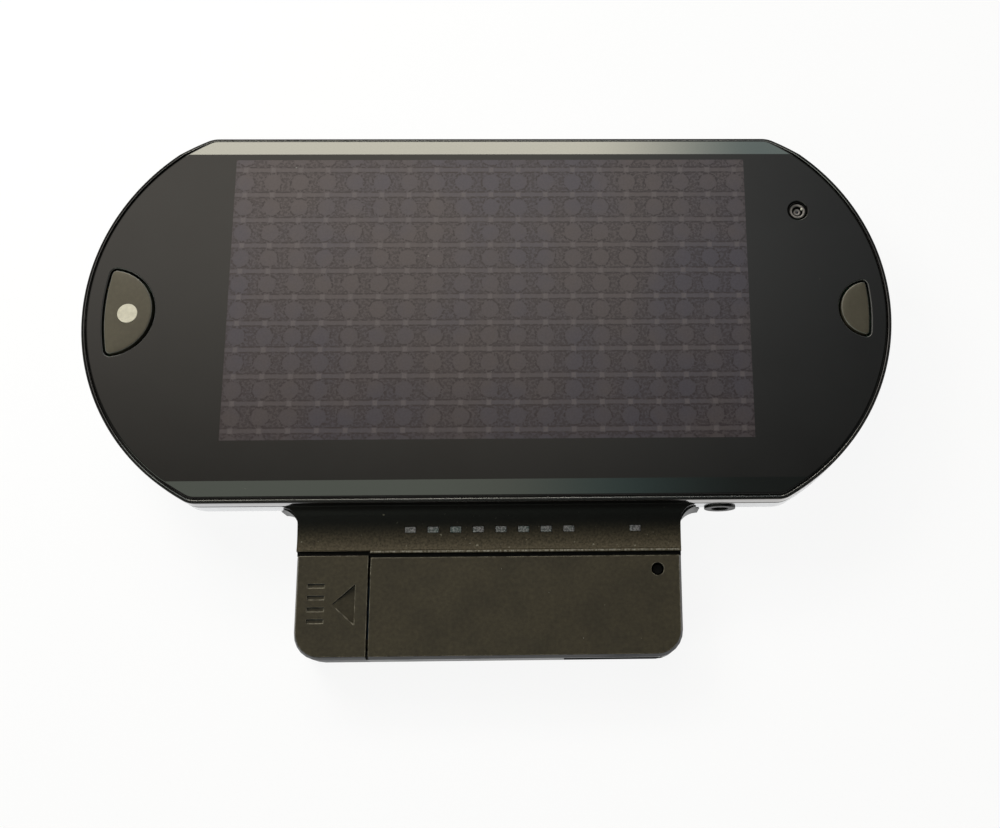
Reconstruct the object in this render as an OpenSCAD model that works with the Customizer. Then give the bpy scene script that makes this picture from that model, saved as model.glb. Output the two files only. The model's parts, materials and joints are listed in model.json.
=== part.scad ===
// Handheld console with a sliding screen half and a clip-on module below it.
// Millimetres. It lies on its back: +X right, +Y to the screen's top, +Z out of the screen.

/* [Console body] */
// Width across the two round ends
body_w = 171.2; // [155:0.2:188]
// Height between the two straight edges
body_h = 81.2; // [74:0.2:89]
// Excess of the round ends' radius over half the height
end_over = 5.2; // [4:0.1:7]
// Rounding between a round end and a straight edge
corner_r = 5; // [4:0.5:6]
// Thickness of the deck, the lower half
deck_t = 11.3; // [11.2:0.1:12.5]
// Thickness of the screen half
screen_t = 5.4; // [5.3:0.1:6]
// Rounding of the deck's underside
under_r = 7; // [6:0.25:7.25]
// Wall of the two shells
wall = 1.6; // [1.4:0.1:1.7]

/* [Screen half] */
// Width of the sloped strip along each straight edge
bevel_w = 4.4; // [3.6:0.2:5.6]
// Slope of the glass along its straight edges
bevel_angle = 16; // [10:1:18]
// Inner edge of the bezel ring, from the body's edge
rim_w = 0.75; // [0.6:0.05:1]
// Thickness of the front glass
glass_t = 1.8; // [1.6:0.1:1.9]
// Width of the lit picture
screen_w = 110.5; // [99:0.5:121]
// Height of the lit picture
screen_h = 62.6; // [56:0.2:68]
// Distance of the picture from the body's top edge
screen_top = 5.75; // [5:0.05:8]
// Distance of both half-moon keys from the body's edge
key_edge = 4.3; // [4.2:0.1:5]
// Radius of the home key's hole
home_r = 9.8; // [8.6:0.1:10.4]
// Radius of the power key's hole
power_r = 6.45; // [5.6:0.05:7]
// Press of a front key
key_travel = 0.5; // [0.3:0.05:0.55]
// Diameter of the dot on the home key
dot_d = 4.2; // [3.4:0.2:4.6]
// Front camera's shift inwards from the middle between picture and right end
camera_in = 3.725; // [2:0.025:5]
// Front camera's distance from the body's top edge
camera_top = 17.8; // [16:0.1:20]
// Diameter of the front camera's barrel
camera_d = 3.9; // [3.4:0.1:4.2]

/* [Slide] */
// Distance of the steel slide from the shoulder keys
rail_apart = 4.3; // [3.9:0.1:8]
// Length of the carriage along the slide
carriage_len = 10; // [8:0.5:14]
// Strip of the deck above the slide
slide_top = 3.5; // [3.3:0.1:6]
// Overlap of the screen half over the slide when it is open
slide_cover = 1.2; // [0.6:0.1:3]

/* [Deck controls] */
// Height of the pad's and the buttons' middle above the lower edge
control_edge = 16.6; // [16:0.1:18]
// Shift of the pad and the buttons outwards from half-way between nub and end
pad_out = 2.7; // [0:0.1:3.2]
// Length of the direction pad
pad_len = 17; // [15:0.5:19]
// Width of an arm of the direction pad
pad_w = 6.4; // [6:0.2:7]
// Tilt of the direction pad each way
pad_tilt = 3; // [2:0.25:3]
// Radius of a face button
button_r = 3.6; // [3.2:0.1:3.7]
// Distance of a face button from the cluster's middle
button_pitch = 6.5; // [6.4:0.05:6.7]
// Press of a deck button
button_travel = 0.7; // [0.5:0.05:0.75]
// Distance of a thumb nub from the middle
nub_x = 31; // [29.5:0.5:31]
// Radius of a thumb nub's cap
nub_r = 5.2; // [4.6:0.1:5.4]
// Slide of a thumb nub each way
nub_travel = 1.8; // [1.4:0.1:1.85]
// Distance of the start and select keys from the middle
menu_x = 11.5; // [10.5:0.5:12]
// Swing of a shoulder key
shoulder_swing = 4; // [2:0.5:4.5]
// Distance of a shoulder key's hinge pin from the body's end
shoulder_end = 39.4; // [38:0.1:40]
// Length of a shoulder key
shoulder_len = 25.5; // [22:0.5:26]

/* [Sockets] */
// Jack's distance from the module's fillet
jack_apart = 4.2; // [3.6:0.1:5]
// Diameter of the jack's bore
jack_d = 3.6; // [3.4:0.05:3.7]
// Diameter of the jack's collar
jack_collar_d = 6.6; // [6:0.1:6.8]

/* [Module] */
// Width of the module
module_w = 79.6; // [72:0.2:87]
// Thickness of the module
module_t = 10; // [9.8:0.1:10.2]
// Length of the neck between console and plate
neck_len = 9.7; // [9.4:0.1:10]
// Module's reach below the console
module_len = 31.2; // [30.8:0.2:33]
// Bevel round the module's top
module_bevel = 0.5; // [0.3:0.1:0.8]
// Rounding of the module's lower corners
module_r = 5.4; // [4.4:0.2:6]
// Rounding where the module meets the console
neck_r = 4.5; // [3.5:0.1:4.6]
// Length of the battery door
door_len = 14.85; // [14.5:0.05:16]
// Way the battery door slides
door_travel = 16; // [12:0.5:16.5]
// Spacing of the status windows
light_pitch = 4.7; // [4.4:0.05:4.9]
// Width of a status window
light_w = 2.2; // [1.8:0.1:2.4]
// Height of a status window
light_h = 1.5; // [1.2:0.1:1.7]
// Dock socket's distance from the module's right side
dock_end = 14.4; // [13.4:0.2:18]
// Width of the dock socket
dock_w = 20; // [18:0.2:20.4]

/* [Hidden] */
$fn = 64;
// Clearances
slide_gap = 0.3;
part_gap = 0.15;
move_gap = 0.3;
pin_gap = 0.05;
screw_gap = 0.03;
key_gap = 0.55;
glass_gap = 0.3;
// Body outline
end_r = body_h / 2 + end_over;
end_x = body_w / 2 - end_r;
corner_min = 0.4;
edge_y = -body_h / 2;
far = body_w;
// Levels of the deck, from the resting plane up
floor_t = 1.4;
floor_inset = 0.72 * under_r;
shelf_z = 0.74 * under_r;
cover_t = 1;
cover_z = deck_t - 1.1;
under_z = cover_z - cover_t;
flange_t = 0.8;
flange_z = under_z - 0.2;
key_low_z = flange_z - flange_t;
mat_t = 0.8;
mat_z = key_low_z - button_travel - 0.2;
board_t = 1;
board_z = mat_z - mat_t;
cap_z = deck_t - 0.1;
post_z = board_z - board_t - 0.5;
// Levels of the screen half
split_z = deck_t + slide_gap;
front_z = split_z + screen_t;
back_t = 0.8;
glass_z = front_z - glass_t;
touch_t = 0.4;
display_t = 1.4;
seam_z = glass_z - 0.4;
seam = 0.1;
edge_w = 0.25;
edge_z = front_z - bevel_w * tan(bevel_angle) - 0.25;
band_t = 1.4;
ledge_in = 3;
ledge_t = 1;
glass_inset = rim_w + glass_gap;
rim_drop = 0.1;
bevel_y = body_h / 2 - bevel_w;
// Picture and what lies round it
screen_y = body_h / 2 - screen_top - screen_h / 2;
display_rim = 1.2;
touch_rim = 1.6;
chassis_end = 19.6;
chassis_half = body_w / 2 - chassis_end;
camera_x = (screen_w + body_w) / 4 - camera_in;
camera_y = body_h / 2 - camera_top;
camera_box = 3.2;
lens_wall = 0.6;
// Front keys
home_y = 0.2;
power_y = 0.35;
dot_end = 9.7;
dot_x = dot_end - body_w / 2;
dot_y = -0.3;
dot_depth = 0.2;
key_flange = 0.9;
key_proud = 0.1;
key_board_y = 12;
dome_end = 8;
dome_x = body_w / 2 - dome_end;
dome_r = 2;
// Shoulder keys
shoulder_pin_x = body_w / 2 - shoulder_end;
shoulder_in = 5.2;
shoulder_x0 = shoulder_pin_x - 2.7;
shoulder_x1 = shoulder_x0 + shoulder_len;
shoulder_depth = 20.6;
shoulder_y0 = body_h / 2 - shoulder_depth;
shoulder_z0 = 2.6;
shoulder_z1 = under_z - 0.4;
shoulder_room = shoulder_len * sin(shoulder_swing) + 1.4;
shoulder_pin_y = body_h / 2 - 3.4;
shoulder_pin_r = 0.9;
switch_end = 7;
switch_x = shoulder_x1 - switch_end;
switch_in = 13.5;
switch_y = body_h / 2 - switch_in;
switch_w = 5;
switch_t = 3;
plunger_r = 0.8;
plunger_len = 1.4;
// Slide
rail_half = shoulder_x0 - rail_apart;
lip_w = 4.4;
tab_w = 2.6;
tab_y1 = 28;
rail_top = split_z - 0.45;
rail_t = 0.7;
web_t = 0.9;
carriage_t = 1.2;
carriage_z = rail_top - rail_t - 0.25 - carriage_t;
base_t = 0.8;
base_z = carriage_z - 0.25 - base_t;
stop_t = 0.8;
slide_travel = (body_h - carriage_len - slide_top - slide_cover - slide_gap) / 2 - stop_t - move_gap;
window_y0 = edge_y + slide_travel + slide_cover;
slide_y0 = window_y0 + slide_gap;
carriage_y = slide_y0 + stop_t + move_gap;
slide_y1 = carriage_y + carriage_len + slide_travel + move_gap + stop_t;
block_end = 9.2;
block_half = rail_half - block_end;
block_in = 1;
carriage_screw_end = 6;
carriage_screw_x = [for (k = [-3 : 2 : 3]) k * (block_half - carriage_screw_end) / 3];
carriage_screw_y = carriage_y + carriage_len / 2;
// Height of the controls below the middle, and the upper edge of their board
control_y = body_h / 2 - control_edge;
control_board_over = 14.6;
control_top = control_board_over - control_y;
// Deck posts and screws
post_r = 2.4;
screw_r = 0.8;
head_r = 1.7;
head_t = 0.9;
cross_len = 2;
cross_w = 0.5;
cross_depth = 0.45;
post_end = 11.6;
post_x = body_w / 2 - post_end;
low_post_y = control_top - 6.6;
mid_post_y = 14;
high_post_y = 24;
high_post_x = shoulder_pin_x - 1.2;
edge_post_in = 7.6;
edge_post_y = edge_y + edge_post_in;
side_posts = [[post_x, low_post_y], [post_x - 1, mid_post_y], [high_post_x, high_post_y]];
posts = [for (p = side_posts) for (s = [-1, 1]) [s * p[0], p[1]], [0, edge_post_y]];
// Boards and speakers
main_end = 27.6;
main_half = body_w / 2 - main_end;
main_y0 = -6;
main_y1 = 20;
main_z = 2.6;
chip_z = main_z + board_t;
// Left side, lower side above the board's, width, height and thickness of what the board carries
shield = [-14, 4, 26, 20, 1.6];
chips = [[-44, 8, 12, 12, 1], [22, 12, 12, 10, 1], [40, 6, 8, 8, 0.8]];
standoff_r = 1.8;
standoff_in = 6;
outer_standoff_x = 38;
inner_standoff_x = 18;
speaker_end = 19.6;
speaker_x = body_w / 2 - speaker_end;
speaker_y = 4;
speaker_r = 6;
speaker_t = 2.4;
magnet_r = 3.4;
magnet_t = 1.2;
high_standoff_in = 2.6;
low_standoff_in = 8;
inner_standoff_in = 3.6;
slot_w = 1.2;
slot_pitch = 3.5;
slot_len = 8;
// Controls
pad_x = (body_w / 2 + nub_x) / 2 + pad_out;
pad_gap = 0.45;
pad_dish_r = 2.6;
dish_t = 0.4;
menu_down = 7;
menu_y = -control_y - menu_down;
menu_w = 6.4;
menu_h = 2.8;
flange_w = 0.75;
pad_r = 3.4;
// Nubs
nub_reach = nub_travel * sqrt(2);
nub_hole = nub_r + nub_reach + 0.25;
nub_skirt = nub_hole + nub_reach + 0.25;
nub_y = control_y + 1;
nub_dish = 1.2;
nub_stem_r = 1.5;
nub_base = 8;
nub_base_t = 0.4;
nub_rail = 1;
slider_x = 5;
slider_y = nub_base - nub_rail - move_gap;
// Direction pad
pad_axis_z = key_low_z - 0.1;
pad_pin_r = 0.7;
pad_top = split_z - part_gap - pad_len / 2 * sin(pad_tilt);
saddle_x = 4.8;
saddle_t = 1.4;
saddle_y = 1.3;
saddle_base = 0.5;
rocker_half = saddle_x - 0.1;
// Jack
jack_x = module_w / 2 + neck_r + jack_apart;
jack_z = under_z - 2.4;
jack_back = 12.2;
jack_half = 3;
jack_low = jack_z - jack_d / 2 - 0.5;
jack_proud = 0.4;
// Module
neck_y = edge_y - neck_len;
module_y = edge_y - module_len;
plate_t = 1.4;
shell_z = module_t - plate_t;
plate_gap = 0.85;
door_head = 0.4;
groove_w = door_head - part_gap;
groove_t = 0.35;
plate_y = neck_y - plate_gap;
door_y = plate_y;
door_top = neck_y - door_head;
door_x = door_len - module_w / 2;
module_wall = 1.6;
module_board_z = 6.2;
light_y = edge_y - 4.7;
neck_top = deck_t - 0.4;
scoop_z = module_t - 0.7;
dock_x = module_w / 2 - dock_end;
dock_depth = 7.1;
dock_in = 0.3;
dock_wall = 0.4;
dock_back = module_y + dock_in + dock_depth - dock_wall - 0.1;
dock_pitch = 1.9;
dock_pin = 0.8;
bulkhead_x = dock_x - dock_w / 2 - 2.4;
bulkhead_t = 1.2;
battery_x1 = bulkhead_x - 4;
battery_z0 = module_wall;
battery_z1 = 6.9;
battery_in = 0.8;
contact_y = 6;
contact_w = 3;
door_z = 2.2;
door_wall = 1.8;
door_gap = 0.25;
door_seam = 0.5;
tongue_w = 1.7;
tongue_t = 0.95;
arrow_in = 7.15;
arrow_down = 9.6;
arrow_x = door_x - arrow_in;
arrow_y = door_y - arrow_down;
arrow_w = 4.6;
arrow_h = 8.2;
arrow_depth = 0.8;
grip_in = 12.2;
grip_down = 6.15;
grip_x = door_x - grip_in;
grip_y = door_y - grip_down;
grip_w = 3.4;
grip_h = 0.8;
grip_pitch = 2.4;
grip_depth = 0.35;
lower_chamfer = 1.2;
charge_end = 9.5;
charge_x = module_w / 2 - charge_end;
standoff_end = 15.8;
standoff_x = module_w / 2 - standoff_end;
module_board_half = module_w / 2 - 3.8;
plug_half = 14;
plug_t = 2.2;
plug_in = 1.4;
plug_out = 3.4;
plug_gap = 0.2;
reset_x = module_w / 2 - 5;
reset_down = 2.85;
reset_y = plate_y - reset_down;
reset_r = 1;
reset_flange = 0.9;
reset_hole = reset_r + move_gap;
dock_z0 = 2.2;
dock_z1 = 7.4;
module_post_r = 2;
module_head_z = 1.3;
bulkhead_post = 3.8;
module_post_in = 4;
bulkhead_post_down = 8;
end_post_down = 9;
neck_post_down = 5.4;
module_post_x = module_w / 2 - module_post_in;
module_posts = [[bulkhead_x + bulkhead_post, neck_y - bulkhead_post_down],
    [module_post_x, neck_y - end_post_down]];
neck_posts = [for (s = [1, -1]) [s * module_post_x, edge_y - neck_post_down]];

// Outlines
function arc(x, y, r, a0, a1, n) =
    [for (k = [1 : n]) [x + r * cos(a0 + (a1 - a0) * k / n), y + r * sin(a0 + (a1 - a0) * k / n)]];
function quarter(i) = let (r = max(corner_r - i, corner_min), y = body_h / 2 - i - r,
        reach = end_r - i - r, x = end_x + sqrt(reach * reach - y * y), a = atan2(y, x - end_x))
    concat([[body_w / 2 - i, 0]], arc(end_x, 0, end_r - i, 0, a, 16), arc(x, y, r, a, 90, 5));
function turned_back(p) = [for (k = [len(p) - 1 : -1 : 0]) [-p[k][0], p[k][1]]];
function upper(i) = concat(quarter(i), turned_back(quarter(i)));
function body_loop(i) =
    concat(upper(i), [for (q = upper(i)) if (abs(q[1]) > 0.001) [-q[0], -q[1]]]);
function module_loop(i, top) = let (w = module_w / 2 - i, r = module_r - i, c = module_w / 2 - module_r)
    concat([[w, top], [-w, top], [-w, module_y + module_r]],
        arc(-c, module_y + module_r, r, 180, 270, 6), [[c, module_y + i]],
        arc(c, module_y + module_r, r, 270, 360, 6));
function under_inset(a) = under_r * (1 - sin(a));
function under_level(a) = under_r * (1 - cos(a));

module slab(i, z0, z1) {
    translate([0, 0, z0]) linear_extrude(z1 - z0) polygon(body_loop(i));
}

module ring(i0, i1, z0, z1) {
    difference() {
        slab(i0, z0, z1);
        slab(i1, z0 - 1, z1 + 1);
    }
}

module box(x0, x1, y0, y1, z0, z1) {
    translate([x0, y0, z0]) cube([x1 - x0, y1 - y0, z1 - z0]);
}

// Box at the left side when side is -1
module box_on(side, x0, x1, y0, y1, z0, z1) {
    box(min(side * x0, side * x1), max(side * x0, side * x1), y0, y1, z0, z1);
}

module rod(x, y, r, z0, z1) {
    translate([x, y, z0]) cylinder(r = r, h = z1 - z0);
}

module along_y(x, y, z, r, len) {
    translate([x, y, z]) rotate([-90, 0, 0]) cylinder(r = r, h = len);
}

// Way through both shells for the module's plug
module plug_cut() {
    box(-plug_half - plug_gap, plug_half + plug_gap, edge_y - plug_out + move_gap, edge_y + under_r,
        module_board_z - plug_gap, module_board_z + plug_t + plug_gap);
}

module rounded_deck() {
    hull() {
        for (a = [0 : 15 : 75]) slab(under_inset(a), under_level(a), under_level(a) + 0.01);
        slab(0, under_r, deck_t);
    }
}

// Cuts the glass and its ring to the slope along both straight edges
module slope_cut(drop) {
    for (turn = [0, 180]) rotate(turn) translate([0, bevel_y, front_z - drop])
        rotate([-bevel_angle, 0, 0]) box(-far, far, 0, far, 0, far);
}

// Half-moon at the left end when side is -1
module moon(side, r, y, inset, z0, z1) {
    reach = end_r - key_edge;
    x = side * (end_x + sqrt(reach * reach - r * r));
    intersection() {
        slab(key_edge + inset, z0, z1);
        rod(x, y, r - inset, z0 - 1, z1 + 1);
    }
}

module oblong(x, y, w, h, z0, z1) {
    for (s = [-1, 1]) rod(x + s * (w - h) / 2, y, h / 2, z0, z1);
    box(x - (w - h) / 2, x + (w - h) / 2, y - h / 2, y + h / 2, z0, z1);
}

// Screw with its head below and a cross recess in it
module screw(x, y, z, tip) {
    difference() {
        union() {
            rod(x, y, head_r, z, z + head_t);
            rod(x, y, screw_r, z, tip);
        }
        for (turn = [0, 90]) translate([x, y, z]) rotate(turn)
            box(-cross_len / 2, cross_len / 2, -cross_w / 2, cross_w / 2, -1, cross_depth);
    }
}

// Screen half
module screen_frame() color("#2b2a28") difference() {
    union() {
        slab(0, split_z, split_z + back_t);
        ring(0, band_t, split_z + back_t, seam_z);
        ring(0, edge_w, seam_z - 0.1, edge_z);
        ring(glass_inset, ledge_in, glass_z - ledge_t, glass_z);
    }
    for (x = carriage_screw_x)
        rod(x, carriage_screw_y, screw_r + screw_gap, split_z - 1, split_z + back_t + 1);
}

// Thin ring between the tray's edge and the glass
module front_bezel() color("#0c0c0c") difference() {
    ring(edge_w + seam, rim_w, seam_z, front_z - rim_drop);
    slope_cut(rim_drop);
}

module front_glass() color("#26252a") difference() {
    slab(glass_inset, glass_z, front_z);
    slope_cut(0);
    moon(-1, home_r, home_y, 0, glass_z - 1, front_z + 1);
    moon(1, power_r, power_y, 0, glass_z - 1, front_z + 1);
    rod(camera_x, camera_y, camera_d / 2 + part_gap, glass_z - 1, front_z + 1);
}

module screen_sheet(rim, z0, z1) {
    box(-screen_w / 2 - rim, screen_w / 2 + rim, screen_y - screen_h / 2 - rim,
        screen_y + screen_h / 2 + rim, z0, z1);
}

module touch_sensor() color("#6f676c") screen_sheet(touch_rim, glass_z - touch_t, glass_z);

module display_panel() color("#3a3640")
    screen_sheet(display_rim, glass_z - touch_t - display_t, glass_z - touch_t);

module screen_chassis() color("#8d9092") difference() {
    intersection() {
        slab(ledge_in + part_gap, split_z + back_t, glass_z - touch_t - display_t);
        box(-chassis_half, chassis_half, -far, far, 0, far);
    }
    box(camera_x - camera_box - move_gap, far, camera_y - camera_box - move_gap,
        camera_y + camera_box + move_gap, 0, far);
}

module camera_module() color("#151515") difference() {
    union() {
        box(camera_x - camera_box, camera_x + camera_box, camera_y - camera_box,
            camera_y + camera_box, split_z + back_t, glass_z - ledge_t);
        rod(camera_x, camera_y, camera_d / 2, glass_z - ledge_t - 0.2, front_z - 0.3);
    }
    rod(camera_x, camera_y, camera_d / 2 - lens_wall, glass_z - 0.4, front_z);
}

module camera_lens() color("#30343a") {
    rod(camera_x, camera_y, camera_d / 2 - lens_wall - screw_gap, glass_z - 0.4, front_z - 1);
}

// Cap and the flange that holds it under the glass
module front_key(side, r, y) {
    moon(side, r, y, key_gap, glass_z - 0.3, front_z + key_proud);
    moon(side, r, y, key_gap - key_flange, glass_z - ledge_t, glass_z - 0.25);
}

module home_key() color("#57534c") difference() {
    front_key(-1, home_r, home_y);
    rod(dot_x, dot_y, dot_d / 2 + screw_gap, front_z - dot_depth, front_z + 1);
}

module home_dot() color("#d8d2bc")
    rod(dot_x, dot_y, dot_d / 2, front_z - dot_depth, front_z + key_proud + 0.02);

module power_key() color("#4a4742") front_key(1, power_r, power_y);

module key_boards() color("#2d4a33") for (s = [-1, 1]) {
    intersection() {
        slab(ledge_in + part_gap, split_z + back_t, split_z + back_t + 0.8);
        box_on(s, chassis_half + 2, far, -key_board_y, key_board_y, 0, far);
    }
    rod(s * dome_x, 0, dome_r, split_z + back_t + 0.7, glass_z - ledge_t - key_travel - 0.1);
}

module slide_carriage() color("#9a9c9e") difference() {
    union() {
        box(web_t + move_gap - rail_half, rail_half - web_t - move_gap,
            carriage_y, carriage_y + carriage_len, carriage_z, carriage_z + carriage_t);
        box(-block_half, block_half, carriage_y + block_in, carriage_y + carriage_len - block_in,
            carriage_z, split_z);
    }
    for (x = carriage_screw_x) {
        rod(x, carriage_screw_y, screw_r + screw_gap, carriage_z - 1, split_z + 1);
        rod(x, carriage_screw_y, head_r + part_gap, carriage_z - 1, carriage_z + head_t);
    }
}

module carriage_screws() color("#777777") for (x = carriage_screw_x)
    screw(x, carriage_screw_y, carriage_z, split_z + back_t - 0.1);

// Deck
module shoulder_pocket() {
    for (s = [-1, 1]) difference() {
        box_on(s, shoulder_x0 - 0.35, shoulder_x1 + 0.6, shoulder_y0, far,
            shoulder_z0 - move_gap, under_z - 0.1);
        slab(shoulder_in + shoulder_room, 0, deck_t);
    }
}

module rear_shell() color("#302e2c") difference() {
    union() {
        difference() {
            rounded_deck();
            slab(wall, shelf_z, deck_t + 1);
            slab(floor_inset, floor_t, deck_t);
            shoulder_pocket();
        }
        for (p = posts) rod(p[0], p[1], post_r, floor_t - 0.2, post_z);
        for (s = [-1, 1]) {
            for (y = [main_y0 + 4, main_y1 - 4])
                rod(s * (main_half - standoff_in), y, standoff_r, floor_t - 0.2, main_z);
            for (p = [[speaker_x, control_top - high_standoff_in],
                [outer_standoff_x, edge_y + low_standoff_in],
                [inner_standoff_x, control_top - inner_standoff_in]])
                rod(s * p[0], p[1], standoff_r, floor_t - 0.2, board_z - board_t);
        }
    }
    for (p = posts) {
        rod(p[0], p[1], screw_r + part_gap, -1, deck_t);
        rod(p[0], p[1], head_r + part_gap, -1, floor_t);
    }
    for (s = [-1, 1]) {
        rod(s * shoulder_pin_x, shoulder_pin_y, shoulder_pin_r + screw_gap, shoulder_z0 - 1, deck_t);
        for (k = [-1 : 1]) translate([s * speaker_x + k * slot_pitch, speaker_y, 0]) rotate(90)
            oblong(0, 0, slot_len, slot_w, -1, floor_t + 0.5);
    }
    along_y(jack_x, edge_y - 1, jack_z, jack_collar_d / 2 + pin_gap, wall + 2);
    box(jack_x - jack_half - part_gap, jack_x + jack_half + part_gap, edge_y + wall,
        edge_y + jack_back + part_gap, jack_low - part_gap, deck_t + 1);
    plug_cut();
}

module deck_cover() color("#1a1a1b") difference() {
    union() {
        slab(wall + part_gap, under_z, cover_z);
        for (p = posts) rod(p[0], p[1], post_r, post_z, under_z + 0.2);
    }
    for (p = posts) rod(p[0], p[1], screw_r + screw_gap, post_z - 1, cover_z - 0.3);
    box(-rail_half - slide_gap, rail_half + slide_gap, window_y0, slide_y1 + slide_gap, 0, deck_t);
    for (turn = [0, 90]) translate([-pad_x, -control_y, 0]) rotate(turn)
        box(-pad_len / 2 - pad_gap, pad_len / 2 + pad_gap, -pad_w / 2 - pad_gap,
            pad_w / 2 + pad_gap, under_z - 1, deck_t);
    for (a = [0 : 90 : 270])
        rod(pad_x + button_pitch * cos(a), button_pitch * sin(a) - control_y, button_r + move_gap,
            under_z - 1, deck_t);
    for (s = [-1, 1]) {
        rod(s * nub_x, -nub_y, nub_hole, under_z - 1, deck_t);
        oblong(s * menu_x, menu_y, menu_w + 2 * move_gap, menu_h + 2 * move_gap,
            under_z - 1, deck_t);
    }
}

module slide_frame() color("#a7a9aa") {
    box(-rail_half, rail_half, slide_y0, slide_y1, base_z, base_z + base_t);
    for (y = [slide_y0, slide_y1 - stop_t])
        box(-rail_half, rail_half, y, y + stop_t, base_z, rail_top - rail_t);
    for (s = [-1, 1]) {
        box_on(s, rail_half - web_t, rail_half, slide_y0, slide_y1, base_z, rail_top);
        box_on(s, rail_half - lip_w, rail_half, slide_y0, slide_y1, rail_top - rail_t, rail_top);
        box_on(s, rail_half - 0.2, rail_half + tab_w, slide_y0 + tab_w, tab_y1, base_z, under_z);
    }
}

module main_board() color("#23492f") box(-main_half, main_half, main_y0, main_y1, main_z, chip_z);

module chip(c) {
    box(c[0], c[0] + c[2], main_y0 + c[1], main_y0 + c[1] + c[3], chip_z, chip_z + c[4]);
}

module processor_shield() color("#b0b2b3") chip(shield);

module board_chips() color("#1c1c1e") for (c = chips) chip(c);

module speakers() color("#202124") for (s = [-1, 1]) {
    rod(s * speaker_x, speaker_y, speaker_r, floor_t, floor_t + speaker_t);
    rod(s * speaker_x, speaker_y, magnet_r, floor_t + speaker_t - 0.4, floor_t + speaker_t + magnet_t);
}

module control_board() color("#23492f") difference() {
    intersection() {
        slab(2 * wall + part_gap, board_z - board_t, board_z);
        box(-far, far, -far, control_top, 0, far);
    }
    for (p = posts) rod(p[0], p[1], post_r + 0.4, 0, deck_t);
    box(jack_x - jack_half - 0.6, jack_x + jack_half + 0.6, -far, edge_y + jack_back + 0.6, 0, deck_t);
}

module button_pads() color("#5c5c60") {
    difference() {
        rod(-pad_x, -control_y, pad_len / 2, board_z, mat_z);
        rod(-pad_x, -control_y, pad_len / 2 - pad_r, board_z - 1, deck_t);
    }
    for (a = [0 : 90 : 270])
        rod(pad_x + button_pitch * cos(a), button_pitch * sin(a) - control_y, pad_r, board_z, mat_z);
    for (s = [-1, 1]) oblong(s * menu_x, menu_y, menu_w, menu_h, board_z, mat_z);
}

// Cross pins of the direction pad run in this open saddle
module dpad_saddle() color("#77787a") translate([-pad_x, -control_y, 0]) difference() {
    union() {
        box(-saddle_x, saddle_x, -saddle_y, saddle_y, board_z, board_z + saddle_base);
        for (s = [-1, 1])
            box_on(s, saddle_x - saddle_t, saddle_x, -saddle_y, saddle_y, board_z, pad_axis_z + 0.5);
    }
    translate([-2 * saddle_x, 0, pad_axis_z]) rotate([0, 90, 0])
        cylinder(r = pad_pin_r + pin_gap, h = 4 * saddle_x);
}

module dpad_rocker() color("#a7a9aa") translate([-pad_x, -control_y, pad_axis_z]) {
    translate([-rocker_half, 0, 0]) rotate([0, 90, 0]) cylinder(r = pad_pin_r, h = 2 * rocker_half);
    along_y(0, -rocker_half, 0, pad_pin_r, 2 * rocker_half);
}

module dpad() color("#2a2a2c") translate([-pad_x, -control_y, 0]) difference() {
    union() {
        for (turn = [0, 90]) rotate(turn)
            box(-pad_len / 2, pad_len / 2, -pad_w / 2, pad_w / 2, flange_z, pad_top);
        for (y = [-saddle_x, saddle_x - saddle_t])
            box(-saddle_y, saddle_y, y, y + saddle_t, pad_axis_z - 0.9, flange_z + 0.2);
    }
    along_y(0, -2 * saddle_x, pad_axis_z, pad_pin_r + pin_gap, 4 * saddle_x);
    rod(0, 0, pad_dish_r, pad_top - dish_t, deck_t);
}

module nub_bases() color("#3c3d40") for (s = [-1, 1]) translate([s * nub_x, -nub_y, 0]) {
    box(-nub_base, nub_base, -nub_base, nub_base, board_z, board_z + nub_base_t);
    for (y = [-nub_base, nub_base - nub_rail])
        box(-nub_base, nub_base, y, y + nub_rail, board_z, board_z + nub_rail);
}

module nub_slider(s) color("#8a8b8d") translate([s * nub_x, -nub_y, 0]) difference() {
    box(-slider_x, slider_x, -slider_y, slider_y, board_z + nub_base_t + 0.2, key_low_z - 0.4);
    rotate(90) oblong(0, 0, 2 * (nub_travel + nub_stem_r) + 0.7, 2 * (nub_stem_r + part_gap),
        board_z, deck_t);
}

module nub_slider_left() nub_slider(-1);

module nub_slider_right() nub_slider(1);

module nub(s) color("#2f2f31") translate([s * nub_x, -nub_y, 0]) {
    rod(0, 0, nub_skirt, key_low_z, flange_z);
    rod(0, 0, nub_stem_r, board_z + nub_base_t + 0.4, flange_z);
    difference() {
        rod(0, 0, nub_r, flange_z - 0.2, cap_z);
        rod(0, 0, nub_r - nub_dish, cap_z - dish_t, deck_t + 1);
    }
}

module nub_left() nub(-1);

module nub_right() nub(1);

module face_button(a) color("#2a2a2c")
    translate([pad_x + button_pitch * cos(a), button_pitch * sin(a) - control_y, 0]) {
        rod(0, 0, button_r, key_low_z, cap_z);
        rod(0, 0, button_r + flange_w, key_low_z, flange_z);
    }

module button_north() face_button(90);

module button_east() face_button(0);

module button_south() face_button(270);

module button_west() face_button(180);

module menu_key(s) color("#2f2f31") {
    oblong(s * menu_x, menu_y, menu_w, menu_h, key_low_z, cap_z - 0.2);
    oblong(s * menu_x, menu_y, menu_w + 2 * flange_w, menu_h + 2 * flange_w, key_low_z, flange_z);
}

module start_key() menu_key(1);

module select_key() menu_key(-1);

module shoulder(s) color("#242424") difference() {
    intersection() {
        rounded_deck();
        box_on(s, shoulder_x0, shoulder_x1, shoulder_y0, far, shoulder_z0, shoulder_z1);
    }
    slab(shoulder_in, -1, deck_t + 1);
    rod(s * shoulder_pin_x, shoulder_pin_y, shoulder_pin_r + pin_gap, 0, deck_t);
}

module shoulder_left() shoulder(-1);

module shoulder_right() shoulder(1);

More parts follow.
